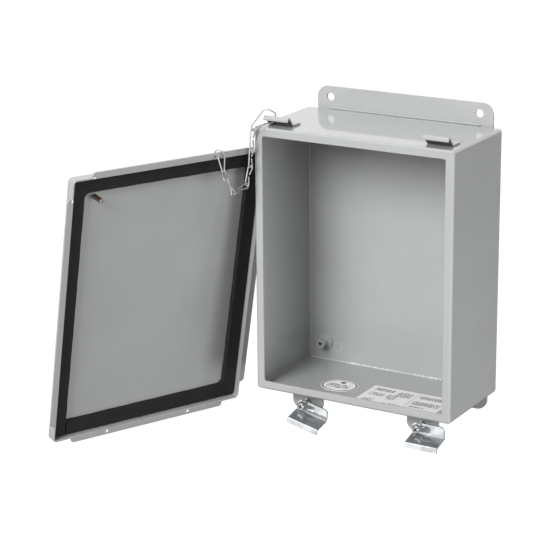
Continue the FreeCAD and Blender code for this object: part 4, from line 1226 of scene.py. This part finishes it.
class ENCLOSURE_OT_chain(bpy.types.Operator):
    """The wire chain from the left hook to the cover, with a clip at each end"""

    bl_idname = "enclosure.chain"
    bl_label = "Chain and clips"

    # The links: compass angle and rise of each, in degrees, and how they seat in one another
    DIRECTIONS = ((-115, -85), (-115, -84), (-115, -75), (-107, -15), (-110, 63))
    PLANE_AZIMUTH = -112
    GAP = 0.15 * MM
    BEND_STEPS = 10
    BEND_SHARE = 0.78
    WAIST_OFFSET = 0.2 * MM
    WAIST_GAP = 0.84 * MM

    # The eye at the foot of both clips, the first one hanging at TOP
    TOP = Vector((-HALF_WIDTH + 2.4 * MM, FRONT_Y - 5.3 * MM, HALF_HEIGHT - 2.6 * MM))
    EYE_HALF = 2.4 * MM
    EYE_HEIGHT = 4.2 * MM
    EYE_CURL = 2.2 * MM
    EYE_CURL_HEIGHT = 1.9 * MM

    # The lower clip, from its eye through the hole in the cover's lip and back
    TAIL_HALF = 3.8 * MM
    TAIL_HEIGHT = 2.9 * MM
    CLIP_WAIST_HALF = 1.0 * MM
    CLIP_WAIST_HEIGHT = 8.5 * MM
    STAND_OFF = 2.2 * MM
    CROWN = 1.5 * MM
    SEAT_GAP = 0.3 * MM
    EYE_FOLLOW = 2.2
    LIP_HOLE_X = COVER_HALF_WIDTH - 57.0 * MM
    OVER_NEAR = 2.0 * MM
    OVER_FAR = 6.0 * MM
    FOOT_OUT = 8.0 * MM
    FOOT_DROP = 2.0 * MM

    # The left hook and its hole
    HOOK_X = HALF_WIDTH - 20.6 * MM
    HOOK_WIDTH = 25.7 * MM
    HOOK_SHEET = 1.9 * MM
    HOOK_SETBACK = 14.5 * MM
    HOOK_RISE = 11.5 * MM
    HOOK_RUN = 9.0 * MM
    HOOK_LIP_DROP = 5.6 * MM
    HOLE_DIAMETER = 4.6 * MM
    HOLE_INSET = 7.6 * MM

    # The upper clip, from its eye over the hook, through the hole and back
    ARCH_OUT = 1.8 * MM
    ARCH_FORWARD = 1.6 * MM
    ARCH_RISE = 1.0 * MM
    ARCH_CROWN = 4.3 * MM
    ARCH_SPAN = 5.2 * MM
    ARCH_BACK = 3.6 * MM
    ARCH_SKEW = 1.0 * MM
    TAIL_OUT = 4.4 * MM
    TAIL_FORWARD = 4.4 * MM
    TAIL_END = 3.4 * MM

    def execute(self, context):
        self.wire = context.scene.enclosure_wire
        self.material = bright_wire(context.scene.enclosure_metals)
        self.maker = wire_maker()
        self.hang = self.wire.loop_radius - self.wire.diameter - self.GAP
        centre, run, upright = self.links()
        self.lower_clip(centre, run, upright)
        self.upper_clip()
        return {"FINISHED"}

    def bend_wire(self, node, points, bends):
        """Make one link or clip and let it stand for its node."""
        piece = grow(self.maker, "wire_" + node, points,
                     {"Diameter": self.wire.diameter, "Sides": self.wire.sides,
                      "Bend steps": self.BEND_STEPS, "Material": self.material}, bends)
        settle(piece, node)

    def links(self):
        """Each link hangs in the one before; returns the last loop's centre, run and width."""
        centre = self.TOP
        upright = self.plane_normal()
        start = None
        for number, (azimuth, elevation) in enumerate(self.DIRECTIONS, 1):
            run = direction(azimuth, elevation)
            if start is None:
                start = centre + run * self.hang
            else:
                pull = in_plane(run, upright.cross(centre - start))
                start = centre + pull * self.wire.loop_radius + run * self.hang
            across = upright.cross(run).normalized()
            bend = self.wire.loop_radius * self.BEND_SHARE
            self.bend_wire("chain_link_" + str(number), self.link_path(start, run, across), [bend] * 4)
            upright = run.cross(across)
            centre = start + run * self.wire.loop_spread
        return centre, run, upright

    def link_path(self, start, run, across):
        """The corners of one link's wire, from the waist round both loops and back to it."""
        radius = self.wire.loop_radius
        upright = run.cross(across)
        end = start + run * self.wire.loop_spread
        waist = (start + end) / 2 + (across + upright) * self.WAIST_OFFSET
        gap = run * self.WAIST_GAP
        near = start - run * radius
        far = end + run * radius
        return [waist - gap, near + across * radius, near - across * radius, far - upright * radius,
                far + upright * radius, waist + gap]

    def plane_normal(self):
        """The level direction square to the plane in which the slack chain bends."""
        return direction(self.PLANE_AZIMUTH + 90, 0)

    def clip_bends(self, points):
        """As large a bend at each corner as its two runs allow, up to the eye's."""
        bends = []
        for before, corner, after in zip(points, points[1:], points[2:]):
            turn = (corner - before).angle(after - corner)
            shorter = min((corner - before).length, (after - corner).length)
            bends.append(min(self.EYE_HALF, 0.45 * shorter / math.tan(turn / 2)))
        return bends

    def lower_clip(self, centre, run, upright):
        """The clip from the last link's loop to the cover's lip."""
        place = cover_place()
        hole_x = self.LIP_HOLE_X
        hole_z = COVER_HALF_HEIGHT + COVER_SHEET + COVER_HOLE_RISE
        front_y = -COVER_RIM_DEPTH - self.STAND_OFF
        back_y = -COVER_RIM_DEPTH + COVER_SHEET + self.STAND_OFF
        crown_z = COVER_HALF_HEIGHT + COVER_SHEET + COVER_LIP + self.CROWN
        entry = place @ Vector((hole_x, front_y, hole_z))
        up = (run * self.EYE_FOLLOW + (entry - centre).normalized()).normalized()
        pull = in_plane(up, upright.cross(run))
        bottom = centre + pull * self.hang
        side = upright.cross(up).normalized()
        if side.dot(place.to_3x3() @ Vector((1, 0, 0))) < 0:
            side = -side
        points = [bottom + side * self.EYE_CURL + up * self.EYE_CURL_HEIGHT,
                  bottom + side * self.EYE_HALF,
                  bottom - side * self.EYE_HALF,
                  bottom - side * self.EYE_HALF + up * self.EYE_HEIGHT,
                  bottom - side * self.CLIP_WAIST_HALF + up * self.CLIP_WAIST_HEIGHT,
                  entry,
                  place @ Vector((hole_x, back_y, hole_z)),
                  place @ Vector((hole_x + self.OVER_NEAR, back_y, crown_z)),
                  place @ Vector((hole_x + self.OVER_FAR, front_y, crown_z)),
                  place @ Vector((hole_x + self.FOOT_OUT, front_y, hole_z - self.FOOT_DROP)),
                  bottom + side * self.CLIP_WAIST_HALF + up * self.CLIP_WAIST_HEIGHT,
                  bottom + side * self.TAIL_HALF + up * self.TAIL_HEIGHT]
        self.bend_wire("chain_clip_lower", points, self.clip_bends(points))

    def upper_clip(self):
        """The clip from the hole in the left hook to the first link."""
        side = self.plane_normal()
        half = self.EYE_HALF
        wire = self.wire.diameter
        top_z = HALF_HEIGHT + self.HOOK_SHEET / 2
        heel = Vector((0, FRONT_Y + self.HOOK_SETBACK, top_z))
        ridge = heel + Vector((0, -self.HOOK_RUN, self.HOOK_RISE - self.HOOK_SHEET / 2))
        tip = ridge + Vector((0, -self.HOOK_SHEET / 2, -self.HOOK_LIP_DROP))
        left_end = -self.HOOK_X - self.HOOK_WIDTH / 2
        hole = (heel + ridge) / 2 + Vector((left_end + self.HOLE_INSET, 0, 0))
        web = (ridge - heel).normalized()
        through = Vector((1, 0, 0)).cross(web)
        seat = hole - web * (self.HOLE_DIAMETER / 2 - wire / 2 - self.SEAT_GAP)
        crown_z = ridge.z + self.ARCH_CROWN
        under = Vector((left_end + wire * 2, tip.y, (tip.z + HALF_HEIGHT) / 2))
        up = Vector((0, 0, 1))
        points = [self.TOP + side * self.EYE_CURL + up * self.EYE_CURL_HEIGHT,
                  self.TOP + side * half,
                  self.TOP - side * half,
                  self.TOP - side * half + up * self.EYE_HEIGHT,
                  Vector((left_end - self.ARCH_OUT, ridge.y - self.ARCH_FORWARD, ridge.z + self.ARCH_RISE)),
                  Vector((left_end, ridge.y, crown_z)),
                  Vector((left_end + self.ARCH_SPAN, ridge.y + self.ARCH_SKEW, crown_z)),
                  Vector((hole.x, hole.y + self.ARCH_BACK, ridge.z)),
                  seat - through * self.STAND_OFF,
                  seat + through * self.STAND_OFF,
                  under,
                  Vector((left_end - self.TAIL_OUT, FRONT_Y - self.TAIL_FORWARD, HALF_HEIGHT)),
                  self.TOP + side * self.TAIL_END + up * wire]
        self.bend_wire("chain_clip_upper", points, self.clip_bends(points))


class ENCLOSURE_OT_labels(bpy.types.Operator):
    """White film on the inner floor with generic print"""

    bl_idname = "enclosure.labels"
    bl_label = "Labels"

    def execute(self, context):
        films = {"oval_label": oval_print("oval_label", (0.03, 0.035, 0.10)),
                 "plate_label": plate_print("plate_label", (0.035, 0.035, 0.04))}
        for node, film in films.items():
            piece = smooth_copy(node, "film_", film, 0)
            settle(piece, node)
        return {"FINISHED"}


class ENCLOSURE_PT_panel(bpy.types.Panel):
    """Sizes, colours and buttons for each group of pieces"""

    bl_label = "Wall enclosure"
    bl_idname = "ENCLOSURE_PT_panel"
    bl_space_type = "VIEW_3D"
    bl_region_type = "UI"
    bl_category = "Enclosure"

    def draw(self, context):
        for operator in OPERATORS:
            self.layout.operator(operator.bl_idname)
        for name, group in SETTINGS.items():
            box = self.layout.box()
            settings = getattr(context.scene, name)
            for key in group.__annotations__:
                box.prop(settings, key)


OPERATORS = (
    ENCLOSURE_OT_painted_steel,
    ENCLOSURE_OT_weld_beads,
    ENCLOSURE_OT_clamps,
    ENCLOSURE_OT_clamp_screws,
    ENCLOSURE_OT_bonding_stud,
    ENCLOSURE_OT_gasket,
    ENCLOSURE_OT_chain,
    ENCLOSURE_OT_labels,
    ENCLOSURE_OT_studio,
)


def register():
    for group in SETTINGS.values():
        bpy.utils.register_class(group)
    for operator in OPERATORS:
        bpy.utils.register_class(operator)
    bpy.utils.register_class(ENCLOSURE_PT_panel)
    for name, group in SETTINGS.items():
        setattr(bpy.types.Scene, name, PointerProperty(type=group))


def unregister():
    for name in SETTINGS:
        delattr(bpy.types.Scene, name)
    bpy.utils.unregister_class(ENCLOSURE_PT_panel)
    for operator in reversed(OPERATORS):
        bpy.utils.unregister_class(operator)
    for group in reversed(SETTINGS.values()):
        bpy.utils.unregister_class(group)


def main():
    register()
    bpy.ops.enclosure.painted_steel()
    bpy.ops.enclosure.weld_beads()
    bpy.ops.enclosure.clamps()
    bpy.ops.enclosure.clamp_screws()
    bpy.ops.enclosure.bonding_stud()
    bpy.ops.enclosure.gasket()
    bpy.ops.enclosure.chain()
    bpy.ops.enclosure.labels()
    bpy.ops.enclosure.studio()


if __name__ == "__main__":
    main()
